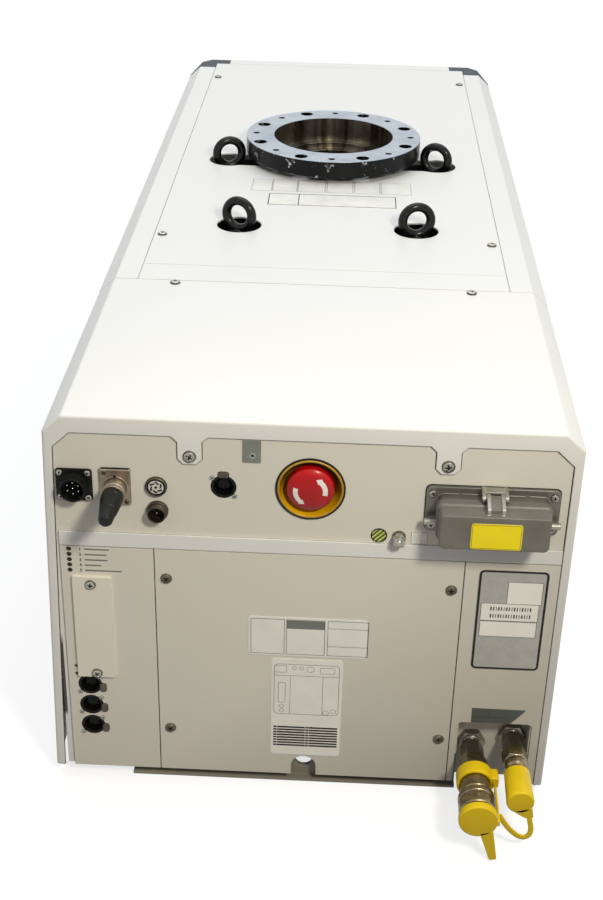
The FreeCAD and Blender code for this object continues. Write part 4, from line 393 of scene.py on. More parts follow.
class Shell:
    """Collects closed surfaces and joins them into one mesh, with a material number for each."""

    def __init__(self):
        self.work = bmesh.new()

    def surface(self, points, material=0, around=True, ring=False, caps=(False, False), closed=True):
        """Adds rows of points as a surface: each four neighbours make a face, around joins the columns' ends,
        ring joins the last row to the first, and caps close the first and last rows. material is one
        number, one for each row of faces, or a table of them."""
        rows, columns = points.shape[:2]
        index = np.arange(rows * columns).reshape(rows, columns)
        if around:
            index = np.hstack([index, index[:, :1]])
        if ring:
            index = np.vstack([index, index[:1]])
        sides = [index[:-1, :-1], index[:-1, 1:], index[1:, 1:], index[1:, :-1]]
        quads = np.stack(sides, axis=-1)
        material = np.asarray(material)
        if material.ndim < 2:
            material = material.reshape(-1, 1)
        numbers = np.broadcast_to(material, quads.shape[:2]).ravel()
        faces = quads.reshape(-1, 4).tolist()
        numbers = numbers.tolist()
        if caps[0]:
            faces.append(index[0, :columns][::-1].tolist())
            numbers.append(numbers[0])
        if caps[1]:
            faces.append(index[-1, :columns].tolist())
            numbers.append(numbers[-1])
        self.take(points.reshape(-1, 3), faces, numbers, closed)

    def take(self, points, faces, numbers, closed=True):
        """Welds one surface, turns a closed one's faces outwards, and adds it."""
        mesh = bpy.data.meshes.new("part")
        mesh.from_pydata(points, [], faces)
        mesh.polygons.foreach_set("material_index", np.array(numbers, np.int32))
        part = bmesh.new()
        part.from_mesh(mesh)
        bmesh.ops.remove_doubles(part, verts=part.verts, dist=2e-6)
        if closed:
            bmesh.ops.recalc_face_normals(part, faces=part.faces)
        part.to_mesh(mesh)
        part.free()
        self.work.from_mesh(mesh)
        bpy.data.meshes.remove(mesh)

    def turned(self, place, profile, radii=0.0, material=0, count=48, ring=False, steps=4):
        """A profile of (radius, outwards) points, its corners rounded, carried round the place's axis."""
        path = arcs(profile, radii, steps, closed=ring)
        turns = circle(count)
        right = path[:, :1] * np.cos(turns)
        up = path[:, :1] * np.sin(turns)
        if np.ndim(material):
            material = np.append(np.repeat(material, steps + 1), material[-1])[: len(path) - (not ring)]
        caps = (not ring and path[0, 0] > 0, not ring and path[-1, 0] > 0)
        self.surface(place(right, up, path[:, 1:]), material, ring=ring, caps=caps)

    def rod(self, place, radius, low, high, edge=0.0, material=0, count=48):
        """A round bar from low to high, with the rim of its outer end rounded."""
        profile = [(0, low), (radius, low), (radius, high), (0, high)]
        self.turned(place, profile, [0, 0, edge, 0], material, count)

    def stacked(self, place, shape, levels, radii=0.0, material=0, ring=False, steps=4):
        """An outline carried along levels of (set in, outwards), the levels' corners rounded."""
        path = arcs(levels, radii, steps, closed=ring)
        rings = np.array([shape(distance) for distance in path[:, 0]])
        out = np.broadcast_to(path[:, 1:], rings.shape[:2])
        self.surface(
            place(rings[..., 0], rings[..., 1], out), material, ring=ring, caps=(not ring, not ring)
        )

    def prism(self, place, shape, low, high, material=0, steps=4):
        """An outline carried straight from low to high."""
        self.stacked(place, shape, [(0, low), (0, high)], 0.0, material, steps=steps)

    def holed(self, place, shape, radius, low, high, edge, material=0, at=(0.0, 0.0)):
        """A plate with a round hole: the outline's rings outside, and circles at the same turns inside."""
        outer = arcs([(0, low), (0, high), (edge * 3, high)], [0, edge, 0], closed=False)
        inner = arcs([(edge * 3, high), (0, high), (0, low)], [0, edge, 0], closed=False)
        rim = shape(0) - at
        turns = np.arctan2(rim[:, 1], rim[:, 0])
        ways = np.stack([np.cos(turns), np.sin(turns)], axis=1)
        rings = [shape(distance) for distance in outer[:, 0]]
        rings += [ways * (radius + distance) + at for distance in inner[:, 0]]
        rings = np.array(rings)
        out = np.concatenate([outer[:, 1], inner[:, 1]])[:, None]
        self.surface(place(rings[..., 0], rings[..., 1], out), material, ring=True)

    def box(self, place, x, z, out, edge=0.4, material=0):
        """A block between limits, with rounded sides and front edges."""
        shape = tile(x[1] - x[0], z[1] - z[0], edge, (x[0] + x[1]) / 2, (z[0] + z[1]) / 2, 3)
        self.stacked(place, shape, [(0, out[0]), (0, out[1]), (2 * edge, out[1])], [0, edge, 0], material)

    def nut(self, place, across, low, high, bore=0.0, material=0):
        """A hexagon whose ends are cut by a cone of 30 degrees: the outline's height falls by the distance
        past the half width times tan 30."""
        rim = hexagon(across)(0)
        fall = (np.linalg.norm(rim, axis=1) - across / 2) * math.tan(math.radians(30))
        face = rim / np.linalg.norm(rim, axis=1, keepdims=True)
        inner = face * max(bore, 0.001)
        flat = face * across / 2 * 0.97
        rings = np.array([inner, flat, rim, rim, flat, inner])
        start, end = low + 0 * fall, high + 0 * fall
        levels = [start, start, low + fall + 0.1, high - fall - 0.1, end, end]
        self.surface(place(rings[..., 0], rings[..., 1], np.array(levels)), material, ring=True)

    def thread(self, place, radius, depth, pitch, low, high, material=0, count=24):
        """A screw thread: radius less depth times a triangle wave of height / pitch - turn / 2 pi."""
        rows = int((high - low) / pitch * 6) + 1
        out = np.linspace(low, high, rows)[:, None]
        turns = circle(count)
        wave = np.abs(np.mod(out / pitch - turns / (2 * np.pi), 1) * 2 - 1)
        reach = radius - depth * wave
        reach = np.vstack([0 * reach[:1], reach, 0 * reach[:1]])
        out = np.vstack([out[:1], out, out[-1:]])
        self.surface(place(reach * np.cos(turns), reach * np.sin(turns), out), material)

    def piece(self, name, finishes, body="root", slot=None, stands_for=(), sharp=32.0):
        """Makes the mesh object, gives it its materials, ties it to its body and hides the CAD nodes it
        stands for.
        The slot, its first finish unless another is named, is not used."""
        slot = slot or finishes[0]
        mesh = bpy.data.meshes.new(name)
        self.work.to_mesh(mesh)
        self.work.free()
        mesh.shade_smooth()
        mesh.set_sharp_from_angle(angle=math.radians(sharp))
        for each in finishes:
            mesh.materials.append(finish(each))
        made = bpy.data.objects.new(name, mesh)
        bpy.context.scene.collection.objects.link(made)
        if body:
            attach(made, body)
        if stands_for:
            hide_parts(*stands_for)
        return made


# Finishes


class Recipe:
    """A material, or the world, being put together from shader nodes."""

    def __init__(self, name, family="materials", shader="Principled BSDF"):
        self.owner = getattr(bpy.data, family).new(name)
        self.owner.use_nodes = True
        self.tree = self.owner.node_tree
        self.shader = self.tree.nodes[shader]

    @cached_property
    def place(self):
        """Object coordinates, from one node."""
        return self.node("ShaderNodeTexCoord").outputs["Object"]

    def put(self, socket, value):
        """Links a socket to another node's output, or sets its number or colour."""
        if isinstance(value, bpy.types.NodeSocket):
            self.tree.links.new(value, socket)
        elif np.ndim(value) and len(value) == 3 and socket.type == "RGBA":
            socket.default_value = (*value, 1.0)
        else:
            socket.default_value = value

    def node(self, kind, inputs=(), **settings):
        """A new node with its settings and inputs, which are numbers, colours or other nodes' outputs."""
        made = self.tree.nodes.new(kind)
        for key, value in settings.items():
            setattr(made, key, value)
        for key, value in dict(inputs).items():
            self.put(made.inputs[key], value)
        return made

    def noise(self, scale, detail=2.0, roughness=0.5, at=None, stretch=None):
        """Noise of a scale in cells per metre, stretched along an axis if asked."""
        at = at or self.place
        if stretch:
            at = self.node("ShaderNodeMapping", {"Vector": at, "Scale": stretch}).outputs[0]
        inputs = {"Vector": at, "Scale": scale, "Detail": detail, "Roughness": roughness}
        return self.node("ShaderNodeTexNoise", inputs).outputs["Fac"]

    def band(self, value, low, high, start=0.0, end=1.0):
        """Runs from start to end as a value goes from low to high."""
        inputs = {"Value": value, "From Min": low, "From Max": high, "To Min": start, "To Max": end}
        return self.node("ShaderNodeMapRange", inputs).outputs[0]

    def maths(self, operation, a, b=0.0):
        """An operation on two numbers; the three commonest have names of their own below."""
        return self.node("ShaderNodeMath", {0: a, 1: b}, operation=operation).outputs[0]

    def times(self, a, b):
        return self.maths("MULTIPLY", a, b)

    def plus(self, a, b):
        return self.maths("ADD", a, b)

    def less(self, a, b):
        return self.maths("SUBTRACT", a, b)

    def mix(self, share, first, second):
        """A colour between two."""
        made = self.node("ShaderNodeMix", data_type="RGBA")
        self.put(made.inputs[0], share)
        self.put(made.inputs[6], first)
        self.put(made.inputs[7], second)
        return made.outputs[2]

    def axes(self, centre=(0.0, 0.0, 0.0)):
        """The three object coordinates, measured from a point in metres."""
        moved = self.node("ShaderNodeVectorMath", {0: self.place, 1: centre}, operation="SUBTRACT")
        return self.node("ShaderNodeSeparateXYZ", {0: moved.outputs[0]}).outputs

    def leaning(self):
        """Nought where the surface looks up, one where it looks down."""
        normal = self.node("ShaderNodeNewGeometry").outputs["Normal"]
        return self.band(self.node("ShaderNodeSeparateXYZ", {0: normal}).outputs[2], 0.5, -0.55)

    def bevel(self, radius):
        """The surface direction with its edges rounded by a radius in metres."""
        return self.node("ShaderNodeBevel", {"Radius": radius}, samples=6).outputs[0]

    def edge(self, radius):
        """Rises from 0 to 1 at edges: one less the dot product of the plain and the rounded direction."""
        plain = self.node("ShaderNodeNewGeometry").outputs["Normal"]
        same = self.node("ShaderNodeVectorMath", {0: self.bevel(radius), 1: plain}, operation="DOT_PRODUCT")
        return self.less(1.0, same.outputs["Value"])

    def bump(self, height, strength, distance, normal=None):
        """A surface direction tilted by a height, over a distance in metres."""
        inputs = {"Height": height, "Strength": strength, "Distance": distance}
        if normal:
            inputs["Normal"] = normal
        return self.node("ShaderNodeBump", inputs).outputs[0]

    def done(self, **sockets):
        """Sets the shader's sockets by name and returns the material or world."""
        for key, value in sockets.items():
            self.put(self.shader.inputs[key.replace("_", " ")], value)
        return self.owner


def darker(shade, share):
    """A colour times a share, or times one for each channel."""
    return tuple(np.array(shade) * share)


def powder_coat(name, shade, soft_edge=0.0008, darkening=0.35, gap_shadows=False):
    """Powder coat: fine orange peel, a broad drift of tone, faint handling marks, a darkening towards the
    floor, and painted shade on the front that deepens towards its lower right by the water couplings. Where
    asked, what lies just behind the front panels is painted nearly black as a painted shadow, so that the
    seams show."""
    r = Recipe(name)
    drift = r.band(r.noise(5.0, 4.0), 0.3, 0.7)
    marks = r.band(r.noise(38.0, 6.0, 0.7), 0.60, 0.78)
    tone = r.mix(r.times(drift, 0.5), shade, darker(shade, 0.955))
    tone = r.mix(r.times(marks, darkening * 0.3), tone, darker(shade, (0.82, 0.80, 0.74)))
    # Darker towards the floor.
    low = r.band(r.axes()[2], 0.10, 0.0)
    tone = r.mix(r.times(low, darkening * 0.5), tone, darker(shade, (0.80, 0.77, 0.70)))
    # Painted shade: the front grows darker towards its lower right, by the water couplings, where the light
    # falls off.
    across, back, height = r.axes((0.0, FRONT * MM, 0.0))[:3]
    corner = r.band(r.less(across, r.times(height, 0.9)), -0.16, 0.13, 0.0, 0.34)
    corner = r.times(corner, r.band(back, 0.06, 0.03))
    tone = r.mix(corner, tone, darker(shade, (0.02, 0.015, 0.01)))
    # Painted shadow: the frame just behind the front panels, and the wedges low at the hood's sides, turn
    # nearly black, so that the gaps between the panels look shaded.
    if gap_shadows:
        behind = r.times(r.band(back, 0.0015, 0.0019), r.band(back, 0.031, 0.029))
        aside = r.maths("ABSOLUTE", across)
        wedge_shadow = r.times(r.band(height, 0.172, 0.158), r.band(height, 0.072, 0.078))
        wedge_shadow = r.times(wedge_shadow, r.band(aside, 0.2296, 0.2302))
        behind = r.times(behind, r.maths("MAXIMUM", r.band(aside, 0.2270, 0.2266), wedge_shadow))
        tone = r.mix(behind, tone, (0.030, 0.027, 0.020))
    peel = r.noise(620.0, 2.0, 0.45)
    normal = r.bump(peel, 0.22, 0.00012, r.bevel(soft_edge))
    gloss = r.band(r.noise(30.0, 3.0), 0.3, 0.7, 0.40, 0.48)
    return r.done(Base_Color=tone, Roughness=gloss, Normal=normal)


def moulded(
    name, shade, roughness=0.42, grain=900.0, strength=0.25, edge=0.0004, coat=0.0, shine=0.5, under=1.0
):
    """Moulded plastic or rubber: fine grain, slight drift of tone, paler rubbed edges, and painted shade that
    makes what faces down darker."""
    r = Recipe(name)
    drift = r.band(r.noise(45.0, 3.0), 0.3, 0.7)
    tone = r.mix(drift, shade, darker(shade, 0.86))
    # Painted shade: what faces down is darkened towards the shade times under.
    tone = r.mix(r.leaning(), tone, darker(shade, under))
    rubbed = r.times(r.band(r.edge(edge), 0.02, 0.2), 0.36 * shine)
    tone = r.mix(rubbed, tone, tuple(np.array(shade) * 0.7 + 0.25))
    normal = r.bump(r.noise(grain, 3.0, 0.6), strength, 0.00008, r.bevel(edge))
    gloss = r.band(r.noise(120.0, 3.0), 0.3, 0.7, roughness - 0.05, roughness + 0.07)
    finish_of = {"Base_Color": tone, "Roughness": gloss, "Normal": normal, "Specular_IOR_Level": shine}
    return r.done(Coat_Weight=coat, Coat_Roughness=0.08, **finish_of)


def enamel(name, shade, bare=(0.55, 0.56, 0.56), chips=0.70):
    """Black enamel with scuffs and chips that gather on the edges and show pale metal."""
    r = Recipe(name)
    rub = r.band(r.edge(0.0012), 0.01, 0.22)
    patches = r.noise(55.0, 8.0, 0.68)
    torn = r.noise(260.0, 5.0, 0.7)
    worn = r.plus(r.times(rub, 0.16), patches)
    worn = r.plus(worn, r.times(torn, 0.18))
    chipped = r.band(worn, chips + 0.05, chips + 0.09)
    dust = r.band(r.noise(20.0, 6.0, 0.6), 0.45, 0.75, 0.0, 0.35)
    tone = r.mix(dust, shade, (0.016, 0.018, 0.018))
    tone = r.mix(chipped, tone, bare)
    lumps = r.less(r.noise(140.0, 4.0, 0.55), r.times(chipped, 0.6))
    normal = r.bump(lumps, 0.35, 0.0004, r.bevel(0.0008))
    gloss = r.band(chipped, 0.0, 1.0, 0.22, 0.5)
    dull = {"Specular_IOR_Level": 0.22, "Coat_Weight": 0.10, "Coat_Roughness": 0.1}
    return r.done(Base_Color=tone, Roughness=gloss, Normal=normal, **dull)


def plain_metal(
    name, shade, roughness=0.3, grain=(1.0, 1.0, 1.0), stain=(0.25, 0.2, 0.13), stained=0.25, under=0.35
):
    """Bare or plated metal: fine directional grain, cloudy staining, a painted reflection of a dark floor
    that makes what faces down darker, and bright rubbed edges."""
    r = Recipe(name)
    cloud = r.band(r.noise(90.0, 5.0, 0.6), 0.38, 0.68)
    tone = r.mix(r.times(cloud, stained), shade, stain)
    # Painted reflection: what faces down is darkened towards the shade times under, as if it mirrored a dark
    # floor.
    tone = r.mix(r.leaning(), tone, darker(shade, under))
    rubbed = r.times(r.band(r.edge(0.0004), 0.01, 0.25), 0.6)
    tone = r.mix(rubbed, tone, tuple(np.minimum(np.array(shade) * 1.35 + 0.05, 1.0)))
    lines = r.noise(1500.0, 3.0, 0.6, stretch=grain)
    normal = r.bump(lines, 0.25, 0.00006, r.bevel(0.0003))
    gloss = r.band(cloud, 0.0, 1.0, roughness, roughness + 0.16)
    return r.done(Base_Color=tone, Metallic=1.0, Roughness=gloss, Normal=normal)


def flange_metal(name, shade, black):
    """The inlet flange: rings turned into the face and bore, and a black painted rim with chips. The lathe
    marks follow the distance from the inlet's axis on the face, and the height in the bore."""
    low, high = limits("inlet_flange")
    centre = tuple((low[:2] + high[:2]) / 2 * MM) + (0.0,)
    face = high[2] * MM
    r = Recipe(name)
    x, y, z = r.axes(centre)[:3]
    reach = r.maths("SQRT", r.plus(r.times(x, x), r.times(y, y)))
    wander = r.times(r.noise(40.0, 3.0), 0.0002)
    across = r.plus(reach, wander)
    face_lines = r.maths("SINE", r.times(across, 9000.0))
    bore_lines = r.maths("SINE", r.times(z, 5200.0))
    on_face = r.band(z, face - 0.0006, face - 0.0003)
    inside = r.band(reach, 0.0778, 0.0774)
    lines = r.node("ShaderNodeMix", {0: on_face, 2: bore_lines, 3: face_lines}, data_type="FLOAT").outputs[0]
    clouds = r.noise(28.0, 6.0, 0.65)
    tone = r.mix(r.band(clouds, 0.3, 0.75), shade, darker(shade, (0.62, 0.64, 0.68)))
    heading = {0: r.maths("DIVIDE", x, reach), 1: r.maths("DIVIDE", y, reach)}
    streaks = r.noise(3.4, 3.0, 0.6, at=r.node("ShaderNodeCombineXYZ", heading).outputs[0])
    bronze = r.mix(r.band(streaks, 0.42, 0.60), (0.060, 0.052, 0.038), (0.34, 0.32, 0.27))
    bronze = r.mix(r.band(r.noise(60.0, 4.0), 0.4, 0.8), bronze, (0.15, 0.12, 0.08))
    tone = r.mix(r.times(inside, r.less(1.0, on_face)), tone, bronze)
    patches = r.plus(r.noise(70.0, 8.0, 0.7), r.times(r.noise(400.0, 4.0, 0.6), 0.12))
    rub = r.times(r.band(r.edge(0.0015), 0.01, 0.25), 0.12)
    chipped = r.band(r.plus(patches, rub), 0.645, 0.68)
    paint = r.mix(chipped, black, (0.60, 0.64, 0.67))
    painted = r.times(r.less(1.0, on_face), r.less(1.0, inside))
    tone = r.mix(painted, tone, paint)
    metal = r.less(1.0, r.times(painted, r.less(1.0, chipped)))
    gloss = r.band(clouds, 0.3, 0.75, 0.26, 0.40)
    level = r.band(metal, 0.0, 1.0, 0.2, 0.5)
    height = r.plus(r.times(lines, 0.5), r.times(patches, painted))
    normal = r.bump(height, 0.18, 0.0002, r.bevel(0.0007))
    return r.done(Base_Color=tone, Metallic=metal, Roughness=gloss, Normal=normal, Specular_IOR_Level=level)


def aged_brass(name, shade):
    """Brass gone brown: blotches of patina, paler rubbed edges, fine pitting and painted shade on what faces
    down.
    """
    r = Recipe(name)
    blotches = r.band(r.noise(170.0, 6.0, 0.62), 0.36, 0.66)
    tone = r.mix(blotches, shade, (0.15, 0.125, 0.085))
    spots = r.band(r.noise(420.0, 4.0, 0.7), 0.58, 0.72)
    tone = r.mix(r.times(spots, 0.6), tone, (0.16, 0.115, 0.085))
    # Painted shade: what faces down turns dark brown.
    tone = r.mix(r.times(r.leaning(), 0.8), tone, (0.055, 0.042, 0.026))
    rub = r.band(r.edge(0.0006), 0.008, 0.12)
    tone = r.mix(r.times(rub, 0.75), tone, (0.80, 0.74, 0.58))
    pits = r.noise(900.0, 5.0, 0.65)
    normal = r.bump(pits, 0.4, 0.00012, r.bevel(0.0005))
    gloss = r.band(blotches, 0.0, 1.0, 0.26, 0.46)
    return r.done(Base_Color=tone, Metallic=1.0, Roughness=gloss, Normal=normal)


def striped(name):
    """Green and yellow stripes on the slant, as on an earth marker: a square wave of x less z."""
    r = Recipe(name)
    x, _, z = r.axes()[:3]
    slant = r.maths("FRACT", r.times(r.less(x, z), 215.0))
    share = r.band(slant, 0.42, 0.5)
    grime = r.band(r.noise(300.0, 4.0), 0.3, 0.7)
    tone = r.mix(share, (0.72, 0.76, 0.10), (0.010, 0.045, 0.015))
    tone = r.mix(r.times(grime, 0.3), tone, (0.10, 0.12, 0.05))
    return r.done(Base_Color=tone, Roughness=0.4, Normal=r.bump(grime, 0.1, 0.00005))


def die_cast(name, shade, metallic=0.0, roughness=0.38):
    """Die-cast metal under thin enamel: a soft pebble from the mould, oily clouds and pale worn edges."""
    r = Recipe(name)
    clouds = r.band(r.noise(42.0, 5.0, 0.6), 0.35, 0.7)
    tone = r.mix(clouds, shade, darker(shade, (0.80, 0.78, 0.72)))
    rub = r.times(r.band(r.edge(0.0009), 0.01, 0.16), 0.7)
    tone = r.mix(rub, tone, tuple(np.minimum(np.array(shade) * 2.1 + 0.04, 1.0)))
    normal = r.bump(r.noise(480.0, 3.0, 0.5), 0.22, 0.0001, r.bevel(0.0006))
    gloss = r.band(clouds, 0.0, 1.0, roughness, roughness + 0.12)
    return r.done(Base_Color=tone, Metallic=metallic, Roughness=gloss, Normal=normal)


# Each finish's recipe and settings; a word is the name of a colour in the panel, and named settings come last
FINISHES = {
    "case_paint": (powder_coat, "case", 0.0010),
    "panel_paint": (powder_coat, "panel", 0.0005, 0.6),
    "slot_paint": (powder_coat, "slot", 0.0005, 0.5),
    # The frame takes the painted shadow in the gaps behind the front panels.
    "frame_paint": (powder_coat, "case", 0.0008, 0.5, True),
    "base_paint": (powder_coat, "frame", 0.0010, 1.0),
    "guard_plastic": (moulded, "guard", 0.55, 700.0, 0.4, 0.0015, {"shine": 0.3}),
    "zinc_steel": (plain_metal, (0.44, 0.44, 0.39), 0.22, {"under": 0.15}),
    "dark_screw": (plain_metal, (0.095, 0.083, 0.062), 0.38, {"stained": 0.5}),
    "black_anodised": (moulded, (0.006, 0.006, 0.006), 0.42, 1400.0, 0.2, 0.0005, {"shine": 0.12}),
    "nickel": (plain_metal, (0.42, 0.36, 0.28), 0.3, (1, 1, 12), (0.22, 0.16, 0.10), 0.6),
    "barrel_nickel": (plain_metal, (0.56, 0.49, 0.41), 0.36, (12, 1, 1), (0.40, 0.32, 0.24), 0.4),
    "boot_rubber": (moulded, (0.009, 0.010, 0.009), 0.42, 800.0, 0.35, 0.0006, {"shine": 0.22}),
    "socket_plastic": (moulded, (0.005, 0.005, 0.005), 0.45, {"shine": 0.12}),
    "socket_white": (moulded, (0.72, 0.72, 0.70), 0.4),
    "tab_metal": (plain_metal, (0.095, 0.085, 0.068), 0.4, {"stained": 0.5}),
    # The last numbers of the stop's yellow and red darken what faces down, as painted shade.
    "stop_yellow": (moulded, "yellow", 0.28, 300.0, 0.06, 0.0004, 0.2, 0.4, 0.05),
    "stop_red": (moulded, "red", 0.32, 260.0, 0.05, 0.0004, 0.12, 0.25, 0.5),
    "arrow_white": (moulded, (0.95, 0.93, 0.88), 0.4),
    "die_cast_paint": (die_cast, "die_cast"),
    "base_casting": (die_cast, (0.15, 0.146, 0.128), 0.5, 0.34),
    "hinge_casting": (die_cast, (0.33, 0.325, 0.295), 0.5, 0.32),
    "gasket": (moulded, (0.010, 0.010, 0.009), 0.6, {"shine": 0.15}),
    "label_yellow": (moulded, "label", 0.38, 500.0, 0.05),
    "lens_plastic": (moulded, (0.012, 0.008, 0.008), 0.3, 500.0, 0.05, 0.0003, 0.1, {"shine": 0.2}),
    "plate_film": (moulded, (0.93, 0.92, 0.87), 0.4, 500.0, 0.06),
    "plate_silver": (plain_metal, (0.33, 0.32, 0.285), 0.5, (1, 1, 10), (0.27, 0.26, 0.23), 0.25, 0.9),
    "print_black": (moulded, (0.010, 0.010, 0.010), 0.5, {"shine": 0.2}),
    "print_grey": (moulded, (0.17, 0.175, 0.17), 0.4),
    "slate": (moulded, (0.062, 0.075, 0.074), 0.42, 500.0, 0.1),
    "brass": (aged_brass, "brass"),
    "dull_nut": (plain_metal, (0.24, 0.22, 0.18), 0.32, {"stained": 0.6}),
    "chrome": (plain_metal, (0.58, 0.56, 0.53), 0.16, {"stained": 0.25}),
    "cap_rubber": (moulded, "cover", 0.42, 380.0, 0.18, 0.0006, {"shine": 0.35, "under": 0.5}),
    "hose_rubber": (moulded, (0.018, 0.02, 0.026), 0.55, 500.0, 0.4),
    "cast_iron": (enamel, (0.020, 0.023, 0.024), {"chips": 0.80}),
    "flange_steel": (flange_metal, "steel", "enamel"),
    "motor_aluminium": (die_cast, (0.52, 0.53, 0.54), 0.9, 0.36),
    "rotor_iron": (plain_metal, (0.40, 0.40, 0.41), 0.28, (1, 8, 1)),
    "gear_steel": (plain_metal, (0.46, 0.46, 0.45), 0.25, (8, 1, 8)),
    "eyebolt_paint": (enamel, "enamel"),
    "earth_stripes": (striped,),
    "tab_grey": (die_cast, (0.20, 0.215, 0.19), 0.3, 0.45),
    # Painted shade: the screws' recesses, the rims of their heads and the washers are dark.
    "screw_recess": (plain_metal, (0.030, 0.028, 0.024), 0.5),
    "washer": (plain_metal, (0.17, 0.16, 0.13), 0.4, {"under": 0.2}),
    # The near black of the hood's seam, a painted shadow.
    "seam_dark": (moulded, (0.055, 0.050, 0.038), 0.8, 900.0, 0.3, {"shine": 0.05}),
    "socket_ring": (plain_metal, (0.085, 0.072, 0.052), 0.4),
    # A darker copy of the nickel, for the interlock plug's flange, as painted shade.
    "plug_nickel": (plain_metal, (0.30, 0.245, 0.18), 0.3, (1, 1, 12), (0.15, 0.11, 0.07), 0.6),
}


def finish(name):
    """The material of a finish, made when first asked for."""
    made = bpy.data.materials.get("finish_" + name)
    if made:
        return made
    recipe, *settings = FINISHES[name]
    named = settings.pop() if settings and isinstance(settings[-1], dict) else {}
    colours = bpy.context.scene.pump_colours
    settings = [getattr(colours, each) if isinstance(each, str) else each for each in settings]
    return recipe("finish_" + name, *settings, **named)


# Places that several pieces share: edges and middles from the frame, and the axes of the water unions

HOOD_LOW, HOOD_HIGH = limits("front_hood")
FRONT = HOOD_LOW[1]
ROOF = HOOD_HIGH[2]
SIDE = HOOD_HIGH[0]
PANEL = limits("connector_panel")[0][1]
STOP = middle("stop_collar")
PLUG = middle("interlock_plug")
POWER = middle("power_socket")
LEFT_UNION = Place((164.0, FRONT, ROOF - 355.0))
RIGHT_UNION = Place((203.0, FRONT, ROOF - 345.0))
TABS = ("upper", "first", "second", "third")


def front_hood(sizes):
    """The hood's bent sheet. One way it follows the case's outline, rounded at the four bends. The other way
    is its section: outside from the rear edge to the front, through a fold of radius f (set in by f (1 -
    cos a), forward by f sin a), down to the outline of the opening with its two tabs, and back along the
    inside. A dark strip along the opening, where the hood meets the panels, is a painted shadow of the gap."""
    splay = -HOOD_LOW[0] - SIDE
    shoulder = ROOF - sizes.edge_drop
    outer = [(-SIDE - splay, HOOD_LOW[2]), (-SIDE, shoulder), (-SIDE + sizes.edge_run, ROOF)]
    outer_end = [(SIDE - sizes.edge_run, ROOF), (SIDE, shoulder), (SIDE, HOOD_LOW[2])]
    edge = SIDE - sizes.bezel_side
    line = ROOF - sizes.bezel_top
    foot = HOOD_LOW[2]
    inner = [(-edge - splay, foot), (-edge, line - sizes.corner_drop), (-edge + sizes.corner_run, line)]
    inner_end = [(edge - sizes.corner_run, line), (edge, line - sizes.corner_drop), (edge, foot)]
    half = sizes.tab_width / 2
    low = ROOF - sizes.tab_drop
    lean = 1.5
    middle_row = 150.0
    for x in (sizes.tab_left, sizes.tab_right):
        flare, cut = -half - sizes.tab_flare, -half + sizes.tab_cut
        left = [(flare, line, flare), (-half, line - sizes.tab_flare, -half)]
        left += [(-half, low + sizes.tab_cut, -half + lean), (cut, low, cut)]
        right = [(-a, b, -c) for a, b, c in reversed(left)]
        for across, height, above in left + right:
            inner.append((x + across, height))
            outer.append((x + above, ROOF))
    outer = np.array(outer + outer_end)[::-1]
    inner = np.array(inner + inner_end)[::-1]
    bends = np.zeros(len(outer))
    bends[[1, 2, -3, -2]] = sizes.bend

    def wrap(distance):
        """The case's outline, bent and set in, with its two feet kept level."""
        moved = set_in(outer, distance)
        moved[[0, -1], 1] = foot
        return arcs(moved, bends - distance * (bends > 0), 6)

    back = HOOD_HIGH[1] - FRONT
    wall = sizes.sheet
    turn = np.linspace(0, np.pi / 2, 7)
    depths = np.concatenate([[back, middle_row], sizes.fold * (1 - np.sin(turn))])
    insets = np.concatenate([[0, 0], sizes.fold * (1 - np.cos(turn))])
    rows = [np.insert(wrap(d), 1, y, axis=1) for d, y in zip(insets, depths)]
    radii = np.where(bends > 0, 1.0, 0.6)
    opening = arcs(inner, radii, 6)
    rim = arcs(set_in(inner, -0.4), radii, 6)
    for edge in (opening, rim):
        edge[[0, -1], 1] = foot
    rows.append(np.insert(0.2 * rows[-1][:, [0, 2]] + 0.8 * rim, 1, 0.0, axis=1))
    rows += [np.insert(path, 1, y, axis=1) for path, y in ((rim, 0.0), (opening, 0.4), (opening, wall))]
    rows += [np.insert(wrap(wall), 1, y, axis=1) for y in (wall, middle_row, back)]
    points = np.array(rows).transpose(1, 0, 2)
    points[..., 1] += FRONT
    shell = Shell()
    shell.surface(points * MM, caps=(True, True))
    # Painted shadow: a nearly black strip inside the opening stands for the shade in the gap under the hood's
    # edge.
    seam = [arcs(set_in(inner, inset), radii, 6) for inset in (-0.2, 0.75)]
    for edge in seam:
        edge[[0, -1], 1] = foot
    section = ((0, wall - 0.4), (1, wall - 0.4), (1, wall), (0, wall))
    rows = [np.insert(seam[k], 1, FRONT + y, axis=1) for k, y in section]
    shell.surface(np.array(rows).transpose(1, 0, 2) * MM, 1, caps=(True, True))
    shell.piece("hood_shell", ["case_paint", "seam_dark"], stands_for=["front_hood"])


# Material numbers, in every piece with screws, of the washer and the head's rim, both dark as painted shade,
# and of the recess, near black as painted shade
WASHER, RECESS = 2, 3
# How far out, as shares of the head's radius, the rings of a head lie
HEAD_RINGS = (0.0, 0.08, 0.16, 0.24, 0.32, 0.4, 0.48, 0.56, 0.64, 0.75, 0.86, 0.94, 0.985, 1.0)


